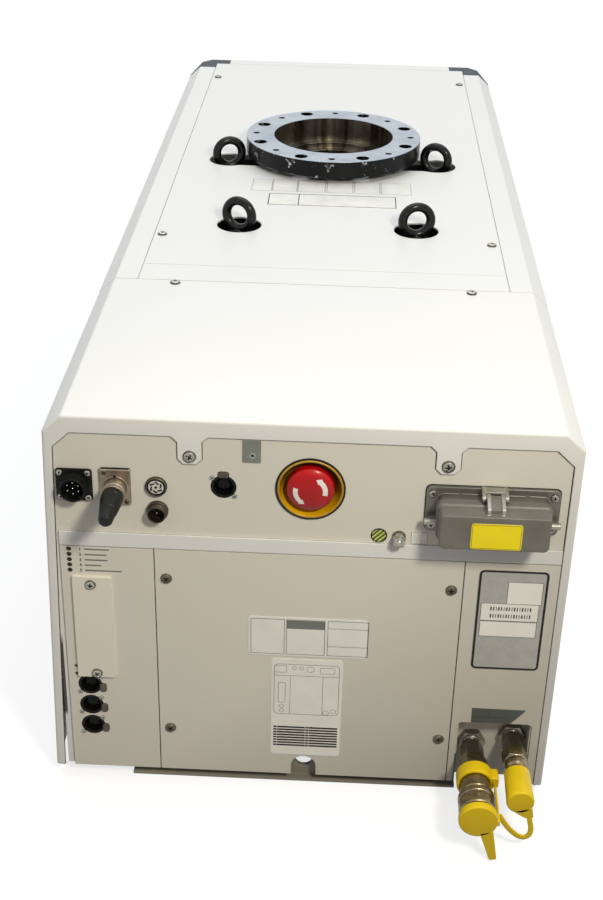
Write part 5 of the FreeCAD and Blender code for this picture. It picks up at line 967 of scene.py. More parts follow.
def screw(shell, place, head, rise, material=0):
    """A pan head with a cross recess. On a polar grid the height is the dome's, rise times
    (0.62 + 0.38 sqrt(1 - (r / R)^2)), less a depth inside the cross, which falls off towards its walls."""
    count = 48
    turns = circle(count)
    share = np.array(HEAD_RINGS)[:, None]
    right = share * head * np.cos(turns)
    up = share * head * np.sin(turns)
    dome = rise * (0.62 + 0.38 * np.sqrt(np.maximum(1 - share**2, 0))) + 0 * turns
    arm = np.minimum(np.abs(right), np.abs(up))
    inside = np.clip((0.15 * head - arm) / (0.07 * head), 0, 1) * np.clip((0.60 - share) / 0.10, 0, 1)
    out = dome - 0.55 * rise * inside
    foot = np.full((1, count), -0.2)
    edge = share[-1:] * head
    right = np.vstack([right, edge * np.cos(turns), 0 * foot])
    up = np.vstack([up, edge * np.sin(turns), 0 * foot])
    # Painted shade: the deep part of the cross and the head's outer rim take dark finishes.
    deep = np.vstack([inside[:-1] > 0.45, 0 * foot > 0, 0 * foot > 0])
    rim = np.vstack([share[:-1] * head + 0 * turns < 0.93 * head, foot > 0, foot > 0])
    numbers = np.where(deep, RECESS, np.where(rim, material, WASHER))
    shell.surface(place(right, up, np.vstack([out, foot, foot])), numbers)


def screw_places(s):
    """Every pan-head screw: its place, head radius and material number."""
    found = []
    for y, x in ((s.roof_front, s.roof_x), (s.roof_back, s.roof_x), (s.hood_back, s.hood_x)):
        found += [((side * x, FRONT + y, ROOF), "roof", s.head, 0) for side in (-1, 1)]
    scene = bpy.context.scene
    case = in_mm(scene.pump_case)
    for x in (case.tab_left, case.tab_right):
        found.append(((x, FRONT, ROOF - s.tab_drop), "front", s.tab_head, 0))
    for z in (s.panel_high, s.panel_low):
        found += [((side * s.panel_x, FRONT, z), "front", s.panel_head, 1) for side in (-1, 1)]
    aside = [(s.side_middle, s.side_high), (s.side_middle, s.side_low)]
    aside += [(s.side_back, s.rear_high), (s.side_back, s.side_low)]
    for side, facing in ((-1, "left"), (1, "right")):
        found += [((side * SIDE, FRONT + y, z), facing, s.head, 0) for y, z in aside]
    slot_low, slot_high = limits("slot_cover")
    slot_x = (slot_low[0] + slot_high[0]) / 2
    for x, z in ((slot_x - 1.0, slot_high[2] - 8.0), (slot_x + 0.6, slot_low[2] + 5.0)):
        found.append(((x, slot_low[1], z), "front", s.slot_head, 0))
    flange = limits("pin_socket")[0] + in_mm(scene.pump_sockets).pin_flange / 2
    flange_y = PANEL - 3.0
    power_y = PANEL - in_mm(scene.pump_power).base_thick
    for a in (-1, 1):
        for b in (-1, 1):
            at = (flange[0] + a * s.pin_pitch, flange_y, flange[2] + b * s.pin_pitch)
            found.append((at, "front", s.small_head, 0))
            at = (POWER[0] + a * s.power_x, power_y, power_height() + b * s.power_z)
            found.append((at, "front", s.power_head, 0))
    for k, (x, y, z) in enumerate(latch_centres()):
        lean = -1 if k == 0 else 1
        for side in (-1, 1):
            at = (x + side * lean * s.latch_x, y, z + side * s.latch_z)
            found.append((at, "front", s.latch_head, 0))
    return found


def power_height():
    """Height of the power socket's middle: that of its contact insert."""
    return middle("power_insert")[2]


def cover_screws(s):
    """The screws of every cover and flange as one piece, the larger ones on washers."""
    shell = Shell()
    for k, (point, facing, head, material) in enumerate(screw_places(s)):
        place = Place(point, facing, turn=0.7 * k)
        rise = s.rise * min(1.0, head / s.head)
        screw(shell, place, head, rise, material)
        if head > s.power_head:
            washer = [(0, 0), (head * 1.18, 0), (head * 1.18, 0.45), (0, 0.45)]
            shell.turned(place, washer, [0, 0, 0.2, 0], WASHER)
    finishes = ["zinc_steel", "dark_screw", "washer", "screw_recess"]
    shell.piece("case_screws", finishes, stands_for=["cover_screws"])


def lifting_eyes(s):
    """Four forged eyes. A ring whose bar thickens from top to foot, r = top + (foot - top) (1 - cos t) / 2,
    stands on a collar with a hollow neck that sweeps up into the ring."""
    shell = Shell()
    places = [(side * s.front_x, s.front_y, s.front_base) for side in (-1, 1)]
    places += [(side * s.rear_x, s.rear_y, s.rear_base) for side in (-1, 1)]
    foot = [(0, -20), (5, -20), (5, 0), (s.collar, 0), (s.collar, s.collar_height)]
    foot += [(7.5, 6.5), (4.6, 11), (0, 11)]
    for (x, back, base), turn in zip(places, (-25.0, 12.0, 18.0, -25.0)):
        place = Place((x, FRONT + back, base), "roof", math.radians(turn))
        shell.turned(place, foot, [0, 0, 0, 0.6, 1.2, 3.0, 0.8, 0])
        around = circle(72)[:, None]
        section = circle(28)
        bar = s.wire_top + (s.wire - s.wire_top) * (1 - np.cos(around)) / 2
        reach = s.ring + bar * np.cos(section)
        height = s.collar_height + s.ring + s.wire - 1.0 + reach * np.cos(around)
        points = place(reach * np.sin(around), bar * np.sin(section), height)
        shell.surface(points, ring=True)
    shell.piece("lifting_eyes", ["eyebolt_paint"], stands_for=["eyebolts"], sharp=50)


def emergency_stop(s):
    """A turned bowl with a black rim, and a domed head with two curved arrows."""
    place = Place((STOP[0], FRONT, STOP[2]))
    back = PANEL - FRONT
    shell = Shell()
    rim = [(s.lip, -back), (s.rim, -back), (s.rim, -0.5), (s.lip, -0.5)]
    shell.turned(place, rim, [0, 0.2, 0.5, 0.2], material=1, count=96, ring=True)
    under = -s.depth - 2.4
    bowl = [(s.floor + 2.5, under), (s.lip - 2.2, -back), (s.lip, -back), (s.lip, 0.0), (s.bowl, 0.0)]
    bowl += [(s.bowl - 1.2, -4.0), (s.floor, -s.depth), (s.stem, -s.depth), (s.stem, under)]
    shell.turned(place, bowl, [0.5, 0, 0.3, 0.8, 0.8, 6.0, 4.0, 0.4, 0.3], count=96, ring=True, steps=6)
    behind = FRONT - limits("stop_collar")[1][1]
    shell.prism(place, tile(40.0, 40.0, 2.0), behind, behind + 32.0, 1)
    shell.piece("stop_bowl", ["stop_yellow", "gasket"], stands_for=["stop_collar"])

    def dome(reach):
        """Height of the head over its rim: a flat crown that rounds off towards the edge."""
        return s.crown - 2.4 * (reach / s.head) ** 2 - 2.2 * np.clip(reach / s.head, 0, 1) ** 8

    shell = Shell()
    across = np.linspace(0, 1, 26) ** 0.8 * s.head
    profile = np.stack([across, dome(across)], axis=1).tolist()
    profile += [(s.head, -s.skirt + 0.8), (s.head - 0.8, -s.skirt), (5.3, -s.skirt), (5.3, -3.5), (0, -3.5)]
    shell.turned(place, profile, 0.0, count=96, steps=1)
    t = np.linspace(0, 1, 25)[:, None]
    side = np.linspace(-1, 1, 9)
    head_start = 0.76
    width = np.where(t < head_start, 1.0, 1.6 * np.clip(1 - t, 0, 1) / (1 - head_start))
    arc, start = math.radians(82), math.radians(-14)
    for turn in (start + arc * t, start + math.pi + arc * t):
        reach = s.arrow + side * width * s.arrow_width / 2
        right, up = reach * np.cos(turn), reach * np.sin(turn)
        top = place(right, up, dome(reach) + 0.10)
        under = place(right, up, dome(reach) - 0.25)
        rows = np.concatenate([top, under[:, ::-1]], axis=1)
        shell.surface(rows, material=1, caps=(True, True))
    shell.piece("stop_head", ["stop_red", "arrow_white"], "stop_head", "stop_red", ["stop_button"])


def pin_socket(s):
    """A square flange with a round shell; the insert, its pins and the keys of the shell lie inside."""
    low = limits("pin_socket")[0]
    half = s.pin_flange / 2
    place = Place((low[0] + half, FRONT, low[2] + half))
    shell = Shell()
    shell.holed(place, tile(s.pin_flange, s.pin_flange, 3.0), s.pin_bore, PANEL - FRONT - 2.0, 1.0, 0.6)
    barrel = [(s.pin_bore, -6), (s.pin_bore, s.pin_reach), (s.pin_shell, s.pin_reach), (s.pin_shell, 0.5)]
    shell.turned(place, barrel, [0, 0.5, 0.6, 0], ring=True, count=72)
    for height in (2.6, 4.4, 6.2):
        inner = s.pin_shell - 0.2
        ridge = [(inner, height), (s.pin_shell + 0.35, height + 0.35), (inner, height + 0.7)]
        shell.turned(place, ridge, 0.1, ring=True, count=72, steps=2)
    shell.turned(place, [(0, -32), (12, -32), (12, -2.5), (s.pin_bore, -2.5), (s.pin_bore, -6), (0, -6)], 0.0)
    for turn in circle(5) + math.pi / 2:
        key = Place(place.point, "front", turn)
        shell.box(key, (s.pin_bore - 1.1, s.pin_bore + 0.3), (-0.8, 0.8), (-6, 9.5), 0.2)
    spots = [(0.0, 0.0)]
    turns = circle(6) + math.pi / 6
    spots += list(zip(s.pin_circle * np.cos(turns), s.pin_circle * np.sin(turns)))
    for x, z in spots:
        pin = Place(place.point + (x, 0, z))
        shell.rod(pin, 0.9, -7, 8.0, 0.8, 1, 16)
    shell.piece("pin_socket_shell", ["black_anodised", "chrome"], stands_for=["pin_socket"])


def interlock_plug(s):
    """The nickel flange with its folded top lip, and the plug: a grooved barrel and a ridged boot."""
    place = Place((PLUG[0], FRONT, PLUG[2]))
    middle_z = 0.8
    r = s.plug_radius
    shell = Shell()
    width, height = 27.0, 36.0
    edge = tile(width, height, 1.2, 0.0, middle_z)
    shell.holed(place, edge, r + 1.6, -2.0, 1.0, 0.3)
    top = middle_z + height / 2
    # Painted highlight and shade: the top lip takes the plain nickel, lighter than the darker copy on the
    # flange.
    shell.box(place, (-width / 2, width / 2), (top - 2.2, top), (-2.0, 1.6), 0.5, 4)
    collar = [(r + 0.3, -34), (r + 0.3, 1.3), (r + 1.9, 1.3), (r + 1.4, -34)]
    shell.turned(place, collar, [0, 0.4, 0.5, 0], ring=True, count=72)
    shell.box(place, (-1.4, 1.4), (r + 0.6, r + 3.4), (-1.0, 1.5), 0.3, material=1)
    for x, z in ((-9.6, 15.2), (9.6, -14.0)):
        screw(shell, Place(place.point + (x, -1.0, z)), 2.3, 1.3, 2)
    finishes = ["plug_nickel", "print_black", "dark_screw", "screw_recess", "nickel"]
    shell.piece("plug_flange", finishes, slot="nickel", stands_for=["plug_socket"])

    shell = Shell()
    start = s.plug_start
    barrel = [(0, -16), (r - 0.4, -16), (r - 0.4, 0.5), (r, 0.9), (r, start - 1), (r - 0.5, start - 1)]
    barrel += [(r - 0.5, start), (r, start), (r, 15.0), (0, 15.0)]
    shell.turned(place, barrel, [0, 0.8, 0.2, 0.3, 0.3, 0.1, 0.1, 0.3, 0.5, 0], count=72)
    end = s.plug_reach
    boot = [(0, 15.0), (r + 0.2, 15.0), (r + 0.2, 21.5), (r - 0.7, 22.2), (r - 0.7, 23.2), (r + 0.1, 23.9)]
    boot += [(r - 0.4, s.boot_start), (7.9, 41.0), (7.2, 41.6), (7.0, 43.0), (7.3, 43.8)]
    boot += [(6.2, end - 1.0), (4.6, end + 1.6), (0, end + 1.6)]
    shell.turned(place, boot, [0, 0.7, 0.5, 0.4, 0.4, 0.4, 3, 0.6, 0.4, 0.4, 0.6, 1.6, 1.4, 0], 1, 72)
    shell.piece("plug_body", ["barrel_nickel", "boot_rubber"], "plug_body", "boot_rubber", ["interlock_plug"])


def round_sockets(s):
    """One ring with six contacts in a white insert, and one with a pin, whose thread is a triangle wave."""
    low, high = limits("round_sockets")
    half = (high[0] - low[0]) / 2
    upper_x, lower_x = -136.6, -136.1
    upper = Place((upper_x, FRONT, high[2] - half))
    lower = Place((lower_x, FRONT, low[2] + half))
    shell = Shell()
    r = s.round_radius
    ring = [(r - 1.5, -2), (r - 1.5, 1.2), (r - 0.9, 1.5), (r, 0.3), (r, -2)]
    shell.turned(upper, ring, [0, 0.2, 0.4, 0.4, 0], 3, ring=True, count=72)
    band = [(7.0, -2), (7.0, 1.0), (7.5, 1.3), (r - 1.4, 1.1), (r - 1.4, -2)]
    shell.turned(upper, band, [0, 0.2, 0.3, 0.2, 0], 2, ring=True, count=72)
    shell.turned(upper, [(0, -22), (7.1, -22), (7.1, 0.3), (6.6, 0.7), (0, 0.7)], [0, 0, 0.2, 0.3, 0], 1)
    corners = [(2.3, -2.3), (4.0, -2.3), (6.2, 0.6), (4.9, 2.4), (4.2, 0.7)]
    mark = outline(corners, [0.3, 0.5, 0.5, 0.3, 0.8], 3)
    for turn in circle(6) + 0.4:
        at = Place(upper.point, "front", turn)
        shell.prism(at, mark, 0.5, 0.78, 2, steps=1)
    shell.rod(upper, 1.3, 0.5, 0.78, 0.0, 2, 20)
    shell.turned(lower, [(8.0, -2), (8.0, 1.6), (r, 1.6), (r, -2)], [0, 0.3, 0.7, 0], 3, ring=True, count=72)
    out = np.linspace(-2, 7.4, 60)[:, None]
    turns = circle(48)
    wave = np.abs(np.mod(out - turns / (2 * np.pi), 1) * 2 - 1)
    outer = 8.2 - 0.35 * wave
    reach = np.vstack([outer, 8.0 + 0 * turns, 7.5 + 0 * turns, 7.2 + 0 * turns, 7.2 + 0 * turns])
    heights = np.vstack([out, [[8.0]], [[8.0]], [[7.5]], [[-2.0]]])
    shell.surface(lower(reach * np.cos(turns), reach * np.sin(turns), heights), 3, ring=True)
    shell.rod(lower, 7.3, -24, -1.0, 0.0, 2)
    shell.rod(lower, 0.7, -1.2, 4.0, 0.6, 0, 16)
    for turn in circle(5) + 0.3:
        at = Place(lower.point + (3.4 * math.cos(turn), 0, 3.4 * math.sin(turn)))
        shell.rod(at, 0.45, -1.2, 1.0, 0.3, 3, 12)
    finishes = ["nickel", "socket_white", "socket_plastic", "socket_ring"]
    shell.piece("round_socket_shells", finishes, stands_for=["round_sockets"])


def latch_centres():
    """Middle of each latching socket's mouth: the upper one, then the lower three from the top."""
    low = limits("latch_sockets")[0]
    tabs = [middle("latch_tab_" + name) for name in TABS]
    pitch = tabs[1][2] - tabs[2][2]
    under_tab, half, step = 12.4, 12.0, 0.3
    centres = [(tabs[0][0], PANEL, tabs[0][2] - under_tab)]
    for k in range(3):
        centres.append((low[0] + half + step * k, FRONT, low[2] + half + pitch * (2 - k)))
    return centres


def latch_sockets(s):
    """Round black sockets seen through the panels, with three raised contacts inside."""
    shell = Shell()
    rim, bore, deep = s.latch_radius, s.latch_bore, s.latch_depth
    for centre in latch_centres():
        place = Place(centre)
        mouth = [(rim, -2), (rim, 0.25), (rim - 0.7, 0.4), (bore + 0.3, 0.1), (bore, -1.2), (bore, -deep - 2)]
        mouth += [(0, -deep - 2), (0, -26), (rim, -26)]
        shell.turned(place, mouth, [0, 0.2, 0.2, 0.6, 0.4, 0.3, 0, 0, 0], 0, 64, ring=True)
        shell.rod(place, 5.6, -11, -5.2, 0.8)
        for turn in circle(3) + math.pi / 2:
            spot = Place(np.array(centre) + (4.0 * math.cos(turn), 0, 4.0 * math.sin(turn)))
            contact = [(1.0, -6), (1.0, -5.0), (1.7, -5.0), (1.7, -6)]
            shell.turned(spot, contact, 0.1, 0, 20, ring=True, steps=2)
    shell.piece("latch_socket_shells", ["socket_plastic"], stands_for=["latch_sockets"])
    for name in TABS:
        low, high = limits("latch_tab_" + name)
        size = high - low
        at = Place(((low[0] + high[0]) / 2, high[1], (low[2] + high[2]) / 2))
        shell = Shell()
        shape = tile(size[0], size[2], min(size[0], size[2]) * 0.40)
        shell.stacked(at, shape, [(0, 0), (0, size[1]), (0.8, size[1])], [0, 0.5, 0])
        shell.piece("tab_" + name, ["tab_metal"], "tab_" + name, "tab_metal", ["latch_tab_" + name])


def earth_point():
    """A threaded stud with a toothed washer and two nuts, and the wire tab under the bezel. The washer's rim
    is 6 mm plus 0.35 times the sign of the sine of 16 turns."""
    shell = Shell()
    place = Place((79.5, FRONT, ROOF - 110.2))
    shell.thread(place, 3.0, 0.45, 1.0, -14, 11.4)
    shell.turned(place, [(0, 11.0), (2.5, 11.0), (2.3, 12.0), (0, 12.0)], [0, 0.2, 0.5, 0])
    turns = circle(96)
    teeth = 6.0 + 0.35 * np.sign(np.sin(16 * turns))
    rows = [(3.0 + 0 * turns, -2.0), (teeth, -2.0), (teeth, -0.9), (3.0 + 0 * turns, -0.6)]
    points = [place(r * np.cos(turns), r * np.sin(turns), o) for r, o in rows]
    shell.surface(np.array(points), 3, ring=True)
    shell.nut(place, 10.0, -0.6, 4.6, 2.6)
    shell.nut(Place(place.point, "front", 0.3), 10.0, 5.0, 9.8, 2.6)
    wide, tall = 15.8, 22.4
    tab = Place((-52.1, FRONT, ROOF - 28.3))
    shell.holed(tab, tile(wide, tall, 0.5), 1.8, -2.0, -0.5, 0.15, 1, at=(0.4, -4.7))
    hole = Place((-51.7, FRONT, ROOF - 33.0))
    shell.turned(hole, [(1.9, -2), (1.9, -0.2), (2.6, -0.2), (2.6, -0.6)], 0.1, ring=True)
    # Painted shade: a dark rod fills the wire tab's hole so that it looks deep.
    shell.rod(hole, 1.85, -3.5, -1.6, 0.3, 2)
    shell.piece("earth_stud", ["zinc_steel", "tab_grey", "gasket", "washer"], stands_for=["earth_fittings"])


def power_socket(s):
    """Base plate, gasket, collar, side pegs and hinge block of the power socket, and its hollow lid."""
    centre = (POWER[0], FRONT, power_height())
    place = Place(centre)
    back = PANEL - FRONT
    face = s.base_thick - back
    shell = Shell()
    shell.prism(place, tile(s.base_wide, s.base_high, 5.0), -back, -back + 0.9, 1)
    plate = tile(s.base_wide - 1.2, s.base_high - 1.2, 4.6)
    shell.stacked(place, plate, [(0, -back + 0.9), (0, face), (2, face)], [0, 0.8, 0])
    rim = tile(s.collar_wide, s.collar_high, 6.0)
    wall = 6.0
    levels = [(0, face - 0.5), (0, s.collar_deep), (2.2, s.collar_deep), (2.2, 8.0), (wall, 8.0), (wall, -4)]
    levels += [(wall + 0.5, -30), (4.3, -30), (4.3, face - 1.0)]
    shell.stacked(place, rim, levels, [0, 0.8, 0.5, 0.4, 0.5, 0, 0, 0, 0], ring=True)
    seal = [(2.4, 8.1), (2.4, 9.6), (wall - 0.4, 9.6), (wall - 0.4, 8.1)]
    shell.stacked(place, rim, seal, 0.7, 1, ring=True)
    reach = s.collar_wide / 2
    for side, facing in ((-1, "left"), (1, "right")):
        peg = Place((POWER[0] + side * (reach - 2), FRONT - 8.6, centre[2] - 8.5), facing)
        shell.turned(peg, [(0, 0), (3.0, 0), (3.0, 10.6), (3.0, 13.0), (0, 13.0)], [0, 0, 0, 0.7, 0], 2, 32)
        boss = Place((POWER[0] + side * 29.0, PANEL - s.base_thick, centre[2] + 15.0))
        dimple = [(1.2, -1.0), (2.4, -1.0), (2.4, 0.25), (1.9, 0.25), (1.2, -0.6)]
        shell.turned(boss, dimple, [0, 0, 0.3, 0.3, 0], 1, 24, ring=True)
    axis_out, axis_up = s.hinge_out, s.hinge_up
    for side in (-1, 1):
        ear = Place((POWER[0] + side * 9.8 - 1.6, FRONT, centre[2] + axis_up), "right")
        corners = [(-axis_out - 3.5, -3.5), (0.0, -3.5), (0.0, 3.5), (-axis_out - 3.5, 3.5)]
        shape = outline(corners, [3.4, 0.5, 0.5, 3.4], 8)
        shell.stacked(ear, shape, [(0.3, 0), (0, 0.3), (0, 2.9), (0.3, 3.2)], 0.0, 2)
    shell.box(place, (-9.6, 9.6), (axis_up + 1.0, axis_up + 3.3), (face - 0.5, axis_out - 5.0), 0.4, 2)
    pin = Place((POWER[0] - 11.8, FRONT - axis_out, centre[2] + axis_up), "right")
    shell.turned(pin, [(0, 0), (s.pin, 0), (s.pin, 23.6), (0, 23.6)], [0, 0.3, 0.3, 0], 3, 32)
    finishes = ["base_casting", "gasket", "hinge_casting", "zinc_steel"]
    shell.piece("power_socket_base", finishes, slot="die_cast_paint", stands_for=["power_socket"])
    power_lid(s, centre)


def power_lid(s, centre):
    """The lid: levels that run from the hollow's floor over the rim, a step and the soft front edge, then two
    hinge arms with round knuckles, a finger tab and the bare yellow plate."""
    middle_z = centre[2] - 2.0
    place = Place((centre[0], FRONT, middle_z))
    start = s.collar_deep + s.lid_gap
    end = start + s.lid_deep
    aside = s.collar_wide / 2 + 0.75
    half = s.collar_high / 2 + 2.5
    shape = outline([(-aside, -half), (aside, -half), (aside, half), (-aside, half)], [7.0, 7.0, 5.0, 5.0], 6)
    wall = s.lid_wall
    levels = [(wall + 1.2, end - wall), (wall, start), (0, start), (0, start + 7.2), (1.5, start + 8.2)]
    levels += [(2.2, end), (6.0, end)]
    shell = Shell()
    shell.stacked(place, shape, levels, [1.5, 0.4, 0.8, 0.9, 0.9, 1.3, 0], steps=5)
    pivot_up = s.hinge_up + 2.0
    out = -s.hinge_out
    corners = [(-end + 3.6, 10.0), (-start, 10.0), (-start, pivot_up - 6.0), (out + 4.0, pivot_up - 4.0)]
    corners += [(out + 4.0, pivot_up + 4.0), (out - 3.6, pivot_up + 4.0), (-end + 3.6, pivot_up - 0.5)]
    shape = outline(corners, [0.5, 0.5, 1.0, 3.4, 3.6, 4.0, 2.5], 6)
    for side in (-1, 1):
        arm = Place((centre[0] + side * 6.25 - 1.65, FRONT, middle_z), "right")
        shell.stacked(arm, shape, [(0.4, 0), (0, 0.4), (0, 2.9), (0.4, 3.3)], 0.0, 1)
    web = Place((centre[0] - 4.7, FRONT, middle_z), "right")
    shell.prism(web, lambda distance: shape(1.3 + distance), 0, 9.4)
    shell.box(place, (-9.0, 9.0), (-half - 4.6, -half + 2.0), (start + 1.5, start + 5.0), 0.9)
    plate = tile(44.0, 25.8, 2.6, 1.3, -2.4)
    shell.prism(place, plate, end - 0.2, end + 0.3, 2)
    line_frame(shell, place, plate, 0.9, 0.35, end + 0.33, 3)
    finishes = ["die_cast_paint", "hinge_casting", "label_yellow", "print_black"]
    shell.piece("power_socket_lid", finishes, "lid", "die_cast_paint", ["power_lid"])


def line_frame(shell, place, shape, inset, width, height, material):
    """A printed line that follows an outline, set in from it."""
    inner = inset + width
    levels = [(inset, height - 0.1), (inset, height), (inner, height), (inner, height - 0.1)]
    shell.stacked(place, shape, levels, 0.0, material, ring=True, steps=1)


def field(shell, place, x, z, width, height, out, material, corner=0.3):
    """A printed field: a thin tile on a plate."""
    shell.prism(place, tile(width, height, corner, x, z, 2), out - 0.1, out, material, 1)


def digits(name, texts, size, finishes):
    """Plain numbers as thin solids: each text becomes a mesh, which is then turned to face its side."""
    shell = Shell()
    for text, place in texts:
        curve = bpy.data.curves.new(name, "FONT")
        curve.body = text
        curve.size = size
        curve.extrude = 0.02
        curve.offset = 0.12
        curve.align_x = "LEFT"
        holder = bpy.data.objects.new(name, curve)
        mesh = bpy.data.meshes.new_from_object(holder)
        flat = np.zeros(len(mesh.vertices) * 3)
        mesh.vertices.foreach_get("co", flat)
        flat = flat.reshape(-1, 3)
        mesh.vertices.foreach_set("co", place(flat[:, 0], flat[:, 1], flat[:, 2]).ravel())
        shell.work.from_mesh(mesh)
        bpy.data.objects.remove(holder)
        bpy.data.curves.remove(curve)
        bpy.data.meshes.remove(mesh)
    shell.piece(name, finishes, slot="plate_film")


def plates(s):
    """The bare plates with printed frames and fields, the earth marker and the five lights."""
    shell = Shell()
    film = s.film
    ink = film + s.print_height
    front = Place((0, FRONT, ROOF))

    notice_z = -224.45
    shell.prism(front, tile(110.6, 44.3, 3.0, 0.6, notice_z), 0, film)
    for x, width in ((-36.6, 31.5), (-1.2, 36.0), (38.2, 38.0)):
        line_frame(shell, front, tile(width, 40.0, 0.4, x, notice_z, 2), 0.0, 0.45, ink, 1)
    for drop in (213.0, 233.5):
        field(shell, front, 38.2, -drop, 37.4, 0.4, ink, 1)
    field(shell, front, -1.2, -210.0, 35.2, 9.6, ink, 2)

    shell.prism(front, tile(67.5, 116.7, 3.0, 1.0, -308.15), 0, film)
    line_frame(shell, front, tile(62.0, 60.0, 4.0, 1.0, -286.0), 0.0, 0.4, ink, 1)
    field(shell, front, 1.0, -269.5, 61.4, 0.35, ink, 1)
    for x in (-14.5, 16.5):
        field(shell, front, x, -292.5, 0.35, 46.0, ink, 1)
    boxes = ((-24.0, 262.0, 12.0, 8.0), (20.5, 262.5, 14.0, 7.0), (-22.5, 290.0, 7.0, 24.0))
    for x, drop, width, height in boxes:
        line_frame(shell, front, tile(width, height, 1.0, x, -drop), 0.0, 0.35, ink, 1)
    rounds = ((-11.0, 260.5, 4.0), (-4.0, 260.5, 4.0), (4.5, 261.5, 7.0))
    rounds += ((-22.5, 306.5, 4.4), (-22.5, 311.8, 4.4), (20.0, 313.0, 6.0), (27.0, 311.0, 5.4))
    for x, drop, size in rounds:
        line_frame(shell, front, tile(size, size, size * 0.49, x, -drop), 0.0, 0.35, ink, 1)
    for row in range(8):
        field(shell, front, 1.0, -332.1 - 3.2 * row, 62.0, 2.0, ink - 0.01, 1)
    for x in (-26.6, 0.8, 4.2):
        field(shell, front, x, -343.3, 0.5, 25.9, ink + 0.01, 0)

    rating = tile(63.4, 111.4, 5.0, 185.6, -196.0)
    shell.prism(front, rating, 0, film, 3)
    line_frame(shell, front, rating, 0.25, 2.2, ink, 1)
    for drop in (182.5, 190.5):
        for k in range(16):
            field(shell, front, 167.5 + 2.4 * k, -drop, 1.3 - 0.3 * (k % 3), 4.2, ink + 0.02, 1)
    fields = ((196.8, 164.8, 31.0, 23.6), (184.6, 186.3, 52.0, 18.6), (184.6, 205.2, 51.3, 16.6))
    for x, drop, width, height in fields:
        field(shell, front, x, -drop, width, height, ink, 0, 0.6)
        line_frame(shell, front, tile(width + 0.9, height + 0.9, 0.8, x, -drop), 0.0, 0.45, ink + 0.01, 1)

    tag = outline([(159.8, -316.4), (197.6, -316.2), (211.0, -299.6), (159.5, -299.0)], 0.5)
    shell.prism(front, tag, 0, film, 4)
    field(shell, front, 177.0, -309.4, 34.0, 0.3, ink, 2)
    field(shell, front, 176.5, -304.4, 0.3, 8.0, ink, 2)

    panel = Place((0, PANEL, ROOF))
    small_plate = tile(14.4, 12.2, 0.6, 97.6, -110.9)
    shell.prism(panel, small_plate, 0, film)
    line_frame(shell, panel, small_plate, 0.0, 0.3, ink, 2)
    marker = Place((61.7, PANEL, ROOF - 109.8))
    shell.rod(marker, 7.4, 0, film, 0.2, 1)
    shell.rod(marker, 6.3, 0.2, ink, 0.0, 5)
    dot = [(0, -0.2), (2.0, -0.2), (2.0, 0.35), (1.3, 0.1), (0, 0.1)]
    for x, drop in ((-216.9, 109.6), (-154.8, 109.1), (-134.7, 109.2), (-114.6, 110.4)):
        shell.turned(Place((x, PANEL, ROOF - drop)), dot, [0, 0, 0.2, 0.1, 0], 6, 24)
    roof = Place((0, FRONT, ROOF), "roof")
    cells = ((-96.5, -71.5), (-71.0, -40.5), (-40.0, -6.0), (-4.5, 28.0), (29.5, 61.0), (62.0, 99.5))
    for low, high in cells:
        cell = tile(high - low, 43.5, 0.6, (low + high) / 2, 619.75, 2)
        shell.prism(roof, cell, 0, film)
        line_frame(shell, roof, cell, 0.2, 0.5, ink, 2)
    long_y = 569.5
    long_plate = tile(154.5, 41.0, 0.6, 3.25, long_y, 2)
    shell.prism(roof, long_plate, 0, film)
    line_frame(shell, roof, long_plate, 0.5, 1.1, ink, 1)
    field(shell, roof, -37.0, long_y, 1.0, 38.0, ink, 1)
    finishes = ["plate_film", "print_black", "print_grey", "plate_silver", "slate", "earth_stripes"]
    shell.piece("bare_plates", finishes + ["panel_paint"], stands_for=["blank_plates"])
    lights(s)


def lights(s):
    """Five dark lenses in the left panel, with plain numbers beside them."""
    low, high = limits("status_lights")
    x = (low[0] + high[0]) / 2
    shell = Shell()
    texts = []
    for k in range(5):
        z = high[2] - s.light - 0.5 - s.light_pitch * k
        place = Place((x, FRONT, z))
        lens = [(0, -5), (s.light + 0.5, -5), (s.light + 0.5, -2), (s.light, -2), (s.light, 0.3), (0, 0.3)]
        shell.turned(place, lens, [0, 0, 0, 0, 0.5, 0], 0, 32)
        texts.append((str(k + 1), Place((x + 9.0, FRONT, z - 1.5))))
        wide = s.digit * (5.2, 4.6, 4.8, 3.4, 7.6)[k]
        field(shell, place, 14.0 + wide / 2, 0.1, wide, 1.5, 0.05, 1, 0.2)
    shell.piece("light_lenses", ["lens_plastic", "print_grey"], stands_for=["status_lights"])
    digits("light_numbers", texts, s.digit, ["print_black"])


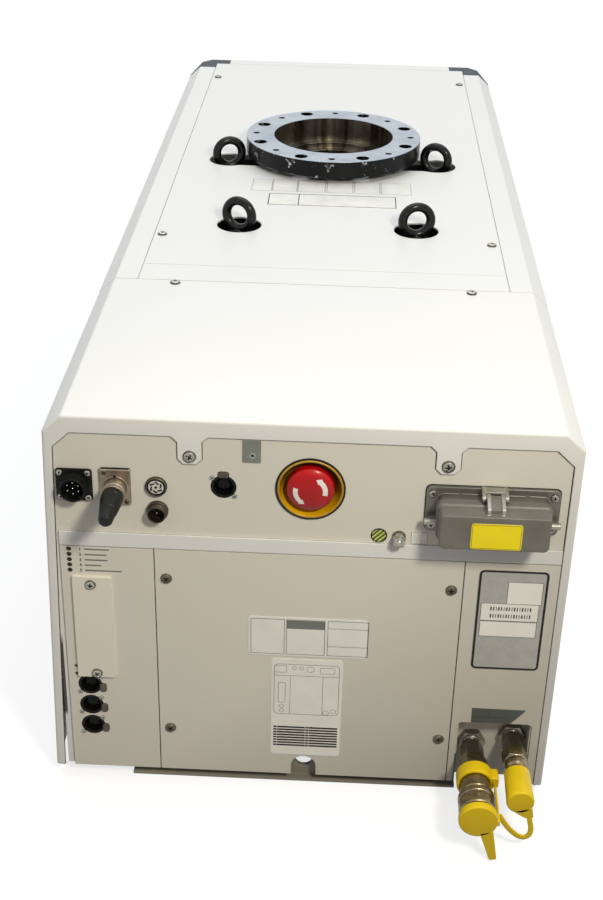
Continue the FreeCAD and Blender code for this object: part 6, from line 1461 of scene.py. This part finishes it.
def water_couplings(s):
    """Both unions in the pan: nuts, nipples and adapters in dull and bright metal, the brass socket coupling
    on the left, and the brass nipple on the right."""
    dull, bright, brass = 0, 1, 2
    shell = Shell()
    wall = s.wall

    def bulkhead(place, across, ring, top):
        """The nuts on both faces of the pan, the ring that stands in front, and the pipe behind."""
        shell.nut(place, across, wall, wall + 8, s.nipple - 0.8, dull)
        shell.nut(place, across, wall - 10, wall - 2, 0.0, dull)
        face = [(s.nipple - 1, wall - 3), (ring, wall + 7.8), (ring, wall + top), (s.nipple - 1, wall + top)]
        shell.turned(place, face, [0, 0, 0.5, 0], bright, ring=True)
        shell.rod(place, 4.4, wall - 32, wall - 2, 0.0, brass)

    bulkhead(LEFT_UNION, s.nut, 9.4, 9.4)
    shell.thread(LEFT_UNION, s.nipple, 0.5, 1.8, wall - 3, -9.0, bright, 36)
    shell.nut(LEFT_UNION, s.small_hex, -9.5, 10.5, 0.0, dull)
    shell.rod(LEFT_UNION, 9.6, 9.5, 10.8, 0.5, bright)
    shell.nut(LEFT_UNION, s.large_hex, 10.5, 28.0, 0.0, brass)
    r = s.body
    body = [(0, 27), (13.4, 27), (13.4, 29.0), (r, 30.0), (r, 58.0), (r - 1.0, 59.0), (r - 1.0, 61.0)]
    body += [(r, 62.0), (r, 85.2), (r - 0.8, 86.0), (s.socket, 86.0), (s.socket, 46.0), (0, 46.0)]
    shell.turned(LEFT_UNION, body, [0, 0.4, 0.3, 0.5, 0.5, 0.3, 0.3, 0.4, 0.6, 0.4, 0.5, 0, 0], brass, 72)

    bulkhead(RIGHT_UNION, s.nut - 0.5, 9.2, 9.2)
    shell.prism(RIGHT_UNION, hexagon(15.0), wall - 3.0, -12.2, bright)
    shell.nut(RIGHT_UNION, 18.7, -12.5, 8.3, 0.0, dull)
    shell.rod(RIGHT_UNION, 9.2, 7.8, 9.2, 0.5, bright)
    shell.nut(RIGHT_UNION, 21.5, 8.3, 23.0, 0.0, brass)
    nipple = [(0, 22), (10.0, 22), (10.6, 26.5), (10.0, 31.0), (8.6, 32.0), (8.0, 33.5), (8.0, 69.2)]
    nipple += [(7.2, 70.0), (0, 70)]
    shell.turned(RIGHT_UNION, nipple, [0, 0.5, 3.5, 0.6, 0.5, 0.5, 0.6, 0.4, 0], brass, 72)
    finishes = ["dull_nut", "chrome", "brass"]
    shell.piece("water_unions", finishes, slot="brass", stands_for=["water_fittings"])

    shell = Shell()
    r = s.sleeve
    grip = [(14.5, 62.0), (r - 1.2, 62.0), (r, 63.2), (r, 68.6), (r - 0.6, 69.2), (r - 0.6, 71.8), (r, 72.4)]
    grip += [(r, 82.8), (r - 1.2, 84.0), (14.5, 84.0)]
    shell.turned(LEFT_UNION, grip, [0, 0.6, 0.8, 0.3, 0.3, 0.3, 0.3, 0.8, 0.6, 0], 0, 96, ring=True)
    shell.piece("sliding_sleeve", ["brass"], "sleeve", "brass", ["coupling_sleeve"])


def dust_covers(s):
    """The soft yellow covers: plug with disc, ear and tail; cap with its strap root; and the two straps. The
    plug's strap comes down to its straight run by a square law, and the cap's follows a smooth line."""
    left, right = LEFT_UNION, RIGHT_UNION
    shell = Shell()
    plug = [(0, 52), (8.6, 52), (8.6, 86.4), (s.disc, 86.4), (s.disc, 94.4), (0, 94.4)]
    shell.turned(left, plug, [0, 1.0, 0.4, 0.9, 1.6, 0], 0, 96, steps=5)
    shell.box(left, (12.0, 20.6), (-8.0, -2.0), (86.4, 90.0), 0.8)
    foot = limits("dust_plug")[0][2] - left.point[2]
    corners = [(2.5, -14.5), (13.4, foot + 0.2), (20.4, foot + 1.2), (14.5, -10.5)]
    tail = outline(corners, [1.0, 1.4, 1.4, 1.0])
    shell.stacked(left, tail, [(0.3, 91.6), (0, 92.1), (0, 94.0), (0.3, 94.4)], 0.0)
    shell.piece("yellow_plug", ["cap_rubber"], "water_plug", "cap_rubber", ["dust_plug"])

    shell = Shell()
    cup = [(8.4, 70.5), (8.4, 39.0), (s.cap - 0.8, 39.0), (s.cap, 78.0), (0, 78.0), (0, 70.5)]
    shell.turned(right, cup, [0.5, 0.6, 0.8, 2.0, 0, 0], 0, 96, ring=True, steps=5)
    root = outline([(-6.0, -10.5), (5.6, -18.0), (13.6, -17.0), (11.5, -5.5)], 1.0)
    shell.stacked(right, root, [(0.3, 75.8), (0, 76.1), (0, 77.7), (0.3, 78.0)], 0.0)
    shell.piece("yellow_cap", ["cap_rubber"], "water_cap", "cap_rubber", ["dust_cap"])

    shell = Shell()
    ring = [(14.6, 30.3), (14.9, 30.0), (s.ring - 0.5, 30.0), (s.ring, 31.0)]
    ring += [(s.ring, 44.0), (s.ring - 0.5, 45.0), (14.9, 45.0), (14.6, 44.7)]
    shell.turned(left, ring, 0.3, 0, 96, ring=True)
    lug = outline([(15.2, -3.0), (22.0, -3.0), (22.0, 9.0), (15.2, 9.0)], [0.6, 2.6, 2.6, 0.6], 5)
    shell.stacked(left, lug, [(0.6, 31.0), (0, 31.6), (0, 44.4), (0.6, 45.0)], 0.0)
    band_start, band_end = 38.0, 86.2
    out = np.linspace(band_start, band_end, 60)[:, None]
    section = arcs([(18.4, -8.0), (20.6, -8.0), (20.6, -2.0), (18.4, -2.0)], 0.8, 3)
    lift = 2.4 * np.clip(1 - (out - band_start) / 12.0, 0, 1) ** 2
    rows = left(section[:, 0] + 0 * out, section[:, 1] + lift, out)
    shell.surface(rows, caps=(True, True))
    strap = shell.piece("ring_strap", ["cap_rubber"], None, "cap_rubber", ["plug_strap"])
    start, end = left(0, 0, 79.0), left(0, 0, band_end)
    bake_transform(strap)
    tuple(start)
    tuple(end)

    shell = Shell()
    route = [(184.9, 42.6), (188.5, 36.5), (195.2, 26.4), (203.5, 18.6), (210.0, 16.6)]
    route += [(214.6, 20.2), (215.6, 27.5), (214.2, 35.0), (212.8, 41.2)]
    line = smooth_line(np.array(route), 90)
    along = np.gradient(line, axis=0)
    along /= np.linalg.norm(along, axis=1, keepdims=True)
    side = np.stack([-along[:, 1], along[:, 0]], axis=1)
    half = s.strap / 2
    section = arcs([(-half, 75.8), (half, 75.8), (half, 78.0), (-half, 78.0)], 0.7, 3)
    across = line[:, None] + side[:, None] * section[None, :, :1]
    place = Place((0, FRONT, 0))
    rows = place(across[..., 0], across[..., 1], section[:, 1])
    shell.surface(rows, caps=(True, True))
    strap = shell.piece("cap_strap_band", ["cap_rubber"], None, "cap_rubber", ["cap_strap"])
    start, end = np.array([(190.0, FRONT - 77, 30), (212.0, FRONT - 77, 30)]) * MM
    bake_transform(strap)
    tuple(start)
    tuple(end)


def smooth_line(points, count):
    """A smooth line through points: Catmull-Rom pieces, each a cubic of its four nearest points."""
    padded = np.vstack([2 * points[0] - points[1], points, 2 * points[-1] - points[-2]])
    t = np.linspace(0, len(points) - 1 - 1e-9, count)
    k = t.astype(int)
    f = (t - k)[:, None]
    a, b, c, d = padded[k], padded[k + 1], padded[k + 2], padded[k + 3]
    return 0.5 * (2 * b + (c - a) * f + (2 * a - 5 * b + 4 * c - d) * f**2 + (3 * b - a - 3 * c + d) * f**3)


def valve_spring(s):
    """The relief valve's spring: circles of wire along a helix."""
    low, high = limits("valve_spring")
    turns = 9
    angle = np.linspace(0, 2 * np.pi * turns, 36 * turns + 1)[:, None]
    around = circle(14)
    reach = s.radius + s.wire * np.cos(around)
    climb = high[2] - low[2] - 2 * s.wire
    height = low[2] + s.wire + climb * angle / (2 * np.pi * turns) + s.wire * np.sin(around)
    x, y = (low[:2] + high[:2]) / 2
    points = np.stack([x + reach * np.cos(angle), y + reach * np.sin(angle), height], axis=-1) * MM
    shell = Shell()
    shell.surface(points, caps=(True, True))
    coil = shell.piece("valve_spring_coil", ["gear_steel"], stands_for=["valve_spring"])
    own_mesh(coil)


# The CAD nodes that don't take the finish of their own material slot
CAD_FINISHES = {
    "base_frame": "base_paint",
    "upper_frame": "frame_paint",
    "power_insert": "socket_white",
    "stop_plunger": "gasket",
    "slot_cover": "slot_paint",
}


def case_finish():
    """Gives every CAD node that still shows the finish of its material slot."""
    for node, thing in frame["nodes"].items():
        if thing.hide_render:
            continue
        for holder in thing.material_slots:
            slot = holder.material.name.split(".")[0]
            holder.material = finish(CAD_FINISHES.get(node, slot))


def lamp(name, power, size, point, target, tint):
    """A rectangular lamp at a point, turned to face a target."""
    data = bpy.data.lights.new(name, "AREA")
    data.shape = "RECTANGLE"
    data.size, data.size_y = size
    data.energy = power
    data.color = tint
    made = bpy.data.objects.new(name, data)
    bpy.context.scene.collection.objects.link(made)
    direction = (Vector(target) - Vector(point)).to_track_quat("-Z", "Y")
    made.matrix_world = Matrix.Translation(point) @ direction.to_matrix().to_4x4()


def seen_directly(r):
    """One where the camera, a mirror or glass looks, and nought for scattered light."""
    path = r.node("ShaderNodeLightPath").outputs
    share = path["Is Camera Ray"]
    for other in ("Is Glossy Ray", "Is Transmission Ray"):
        share = r.maths("MAXIMUM", share, path[other])
    return share


def stage(s):
    """Pale floor, soft lamps, a white background and the camera. Where it is looked at, the floor glows so
    that it is white round the case and far away; its bounce light is that of a dark floor."""
    scene = bpy.context.scene
    r = Recipe("studio", "worlds", "Background")
    strength = r.node("ShaderNodeMix", {0: seen_directly(r), 2: s.ambient, 3: 1.0}).outputs[0]
    scene.world = r.done(Color=(1.0, 1.0, 1.0), Strength=strength)

    half = 12.0
    corners = [(-half, -half), (half, -half), (half, half), (-half, half)]
    mesh = bpy.data.meshes.new("floor")
    mesh.from_pydata([(x, y, -0.0005) for x, y in corners], [], [(0, 1, 2, 3)])
    floor = bpy.data.objects.new("floor", mesh)
    scene.collection.objects.link(floor)
    r = Recipe("pale_floor")
    share = seen_directly(r)
    tone = r.mix(share, (0.12, 0.11, 0.10), (0.38, 0.38, 0.38))
    reach = r.node("ShaderNodeVectorMath", {0: r.place}, operation="LENGTH").outputs["Value"]
    glow = r.times(share, r.band(reach, 1.5, 5.0, 0.74, 0.90))
    shine = {"Roughness": 0.9, "Specular_IOR_Level": 0.0, "Emission_Color": (1.0, 1.0, 1.0)}
    mesh.materials.append(r.done(Base_Color=tone, Emission_Strength=glow, **shine))

    lamp("overhead", s.overhead, (2.6, 3.0), (0.0, 0.85, 2.6), (0.0, 0.85, 0.4), (0.93, 0.985, 1.0))
    lamp("key", s.key, (0.22, 0.22), (0.56, -1.62, 1.40), (0.0, -0.6, 0.25), (1.0, 0.938, 0.775))

    data = bpy.data.cameras.new("camera")
    data.sensor_fit = "VERTICAL"
    data.sensor_height = 36.0
    data.lens = s.lens
    data.clip_start = 0.01
    data.clip_end = 60.0
    camera = bpy.data.objects.new("camera", data)
    scene.collection.objects.link(camera)
    forward = np.array(
        [-math.sin(s.yaw) * math.cos(s.pitch), math.cos(s.yaw) * math.cos(s.pitch), -math.sin(s.pitch)]
    )
    level = np.array([math.cos(s.yaw), math.sin(s.yaw), 0.0])
    upright = np.cross(level, forward)
    right = level * math.cos(s.roll) + upright * math.sin(s.roll)
    up = upright * math.cos(s.roll) - level * math.sin(s.roll)
    turn = Matrix(np.column_stack([right, up, -forward]).tolist())
    camera.matrix_world = Matrix.Translation((s.camera_x, s.camera_y, s.camera_z)) @ turn.to_4x4()
    scene.camera = camera
    scene.view_settings.view_transform = "Standard"


# Operators, one for each piece or group of like pieces


class PUMP_OT_hood(bpy.types.Operator):
    """Make the bent front hood"""

    bl_idname = "pump.hood"
    bl_label = "Front hood"

    def execute(self, context):
        front_hood(in_mm(context.scene.pump_case))
        return {"FINISHED"}


class PUMP_OT_screws(bpy.types.Operator):
    """Make the pan-head screws of the covers and flanges"""

    bl_idname = "pump.screws"
    bl_label = "Screws"

    def execute(self, context):
        cover_screws(in_mm(context.scene.pump_screws))
        return {"FINISHED"}


class PUMP_OT_lifting_eyes(bpy.types.Operator):
    """Make the four lifting eyes"""

    bl_idname = "pump.lifting_eyes"
    bl_label = "Lifting eyes"

    def execute(self, context):
        lifting_eyes(in_mm(context.scene.pump_eyes))
        return {"FINISHED"}


class PUMP_OT_emergency_stop(bpy.types.Operator):
    """Make the emergency stop's bowl and head"""

    bl_idname = "pump.emergency_stop"
    bl_label = "Emergency stop"

    def execute(self, context):
        emergency_stop(in_mm(context.scene.pump_stop))
        return {"FINISHED"}


class PUMP_OT_pin_socket(bpy.types.Operator):
    """Make the square socket with its pins"""

    bl_idname = "pump.pin_socket"
    bl_label = "Pin socket"

    def execute(self, context):
        pin_socket(in_mm(context.scene.pump_sockets))
        return {"FINISHED"}


class PUMP_OT_interlock_plug(bpy.types.Operator):
    """Make the nickel flange and the interlock plug"""

    bl_idname = "pump.interlock_plug"
    bl_label = "Interlock plug"

    def execute(self, context):
        interlock_plug(in_mm(context.scene.pump_sockets))
        return {"FINISHED"}


class PUMP_OT_round_sockets(bpy.types.Operator):
    """Make the two small round sockets"""

    bl_idname = "pump.round_sockets"
    bl_label = "Round sockets"

    def execute(self, context):
        round_sockets(in_mm(context.scene.pump_sockets))
        return {"FINISHED"}


class PUMP_OT_latch_sockets(bpy.types.Operator):
    """Make the four latching sockets and their push tabs"""

    bl_idname = "pump.latch_sockets"
    bl_label = "Latching sockets"

    def execute(self, context):
        latch_sockets(in_mm(context.scene.pump_sockets))
        return {"FINISHED"}


class PUMP_OT_earth_point(bpy.types.Operator):
    """Make the earth stud and the wire tab"""

    bl_idname = "pump.earth_point"
    bl_label = "Earth point"

    def execute(self, context):
        earth_point()
        return {"FINISHED"}


class PUMP_OT_power_socket(bpy.types.Operator):
    """Make the power socket and its hinged lid"""

    bl_idname = "pump.power_socket"
    bl_label = "Power socket"

    def execute(self, context):
        power_socket(in_mm(context.scene.pump_power))
        return {"FINISHED"}


class PUMP_OT_plates(bpy.types.Operator):
    """Make the bare plates, the earth marker and the lights"""

    bl_idname = "pump.plates"
    bl_label = "Plates and lights"

    def execute(self, context):
        plates(in_mm(context.scene.pump_plates))
        return {"FINISHED"}


class PUMP_OT_water_couplings(bpy.types.Operator):
    """Make the cooling water couplings"""

    bl_idname = "pump.water_couplings"
    bl_label = "Water couplings"

    def execute(self, context):
        water_couplings(in_mm(context.scene.pump_water))
        return {"FINISHED"}


class PUMP_OT_dust_covers(bpy.types.Operator):
    """Make the yellow plug and cap with their straps"""

    bl_idname = "pump.dust_covers"
    bl_label = "Dust covers"

    def execute(self, context):
        dust_covers(in_mm(context.scene.pump_water))
        return {"FINISHED"}


class PUMP_OT_valve_spring(bpy.types.Operator):
    """Make the relief valve's spring"""

    bl_idname = "pump.valve_spring"
    bl_label = "Valve spring"

    def execute(self, context):
        valve_spring(in_mm(context.scene.pump_spring))
        return {"FINISHED"}


class PUMP_OT_case_finish(bpy.types.Operator):
    """Give the remaining parts their finishes"""

    bl_idname = "pump.case_finish"
    bl_label = "Case finishes"

    def execute(self, context):
        case_finish()
        return {"FINISHED"}


class PUMP_OT_stage(bpy.types.Operator):
    """Make the floor, the lamps, the background and the camera"""

    bl_idname = "pump.stage"
    bl_label = "Stage"

    def execute(self, context):
        stage(context.scene.pump_stage)
        return {"FINISHED"}


GROUPS = {
    "pump_case": CaseSizes,
    "pump_screws": ScrewSizes,
    "pump_eyes": EyeSizes,
    "pump_stop": StopSizes,
    "pump_sockets": SocketSizes,
    "pump_power": PowerSizes,
    "pump_water": WaterSizes,
    "pump_plates": PlateSizes,
    "pump_spring": SpringSizes,
    "pump_colours": FinishColours,
    "pump_stage": StageSettings,
}

OPERATORS = (
    PUMP_OT_hood,
    PUMP_OT_screws,
    PUMP_OT_lifting_eyes,
    PUMP_OT_emergency_stop,
    PUMP_OT_pin_socket,
    PUMP_OT_interlock_plug,
    PUMP_OT_round_sockets,
    PUMP_OT_latch_sockets,
    PUMP_OT_earth_point,
    PUMP_OT_power_socket,
    PUMP_OT_plates,
    PUMP_OT_water_couplings,
    PUMP_OT_dust_covers,
    PUMP_OT_valve_spring,
    PUMP_OT_case_finish,
    PUMP_OT_stage,
)


class PUMP_PT_pieces(bpy.types.Panel):
    """Lists the pieces and their sizes"""

    bl_label = "Vacuum booster pump"
    bl_space_type = "VIEW_3D"
    bl_region_type = "UI"
    bl_category = "Pump"

    def draw(self, context):
        for operator in OPERATORS:
            self.layout.operator(operator.bl_idname)
        for name, group in GROUPS.items():
            column = self.layout.box().column()
            for key in group.__annotations__:
                column.prop(getattr(context.scene, name), key)


def register():
    for name, group in GROUPS.items():
        bpy.utils.register_class(group)
        setattr(bpy.types.Scene, name, PointerProperty(type=group))
    for operator in OPERATORS:
        bpy.utils.register_class(operator)
    bpy.utils.register_class(PUMP_PT_pieces)


def unregister():
    bpy.utils.unregister_class(PUMP_PT_pieces)
    for operator in reversed(OPERATORS):
        bpy.utils.unregister_class(operator)
    for name, group in reversed(GROUPS.items()):
        delattr(bpy.types.Scene, name)
        bpy.utils.unregister_class(group)


def main():
    register()
    for operator in OPERATORS:
        family, name = operator.bl_idname.split(".")
        getattr(getattr(bpy.ops, family), name)()


if __name__ == "__main__":
    main()
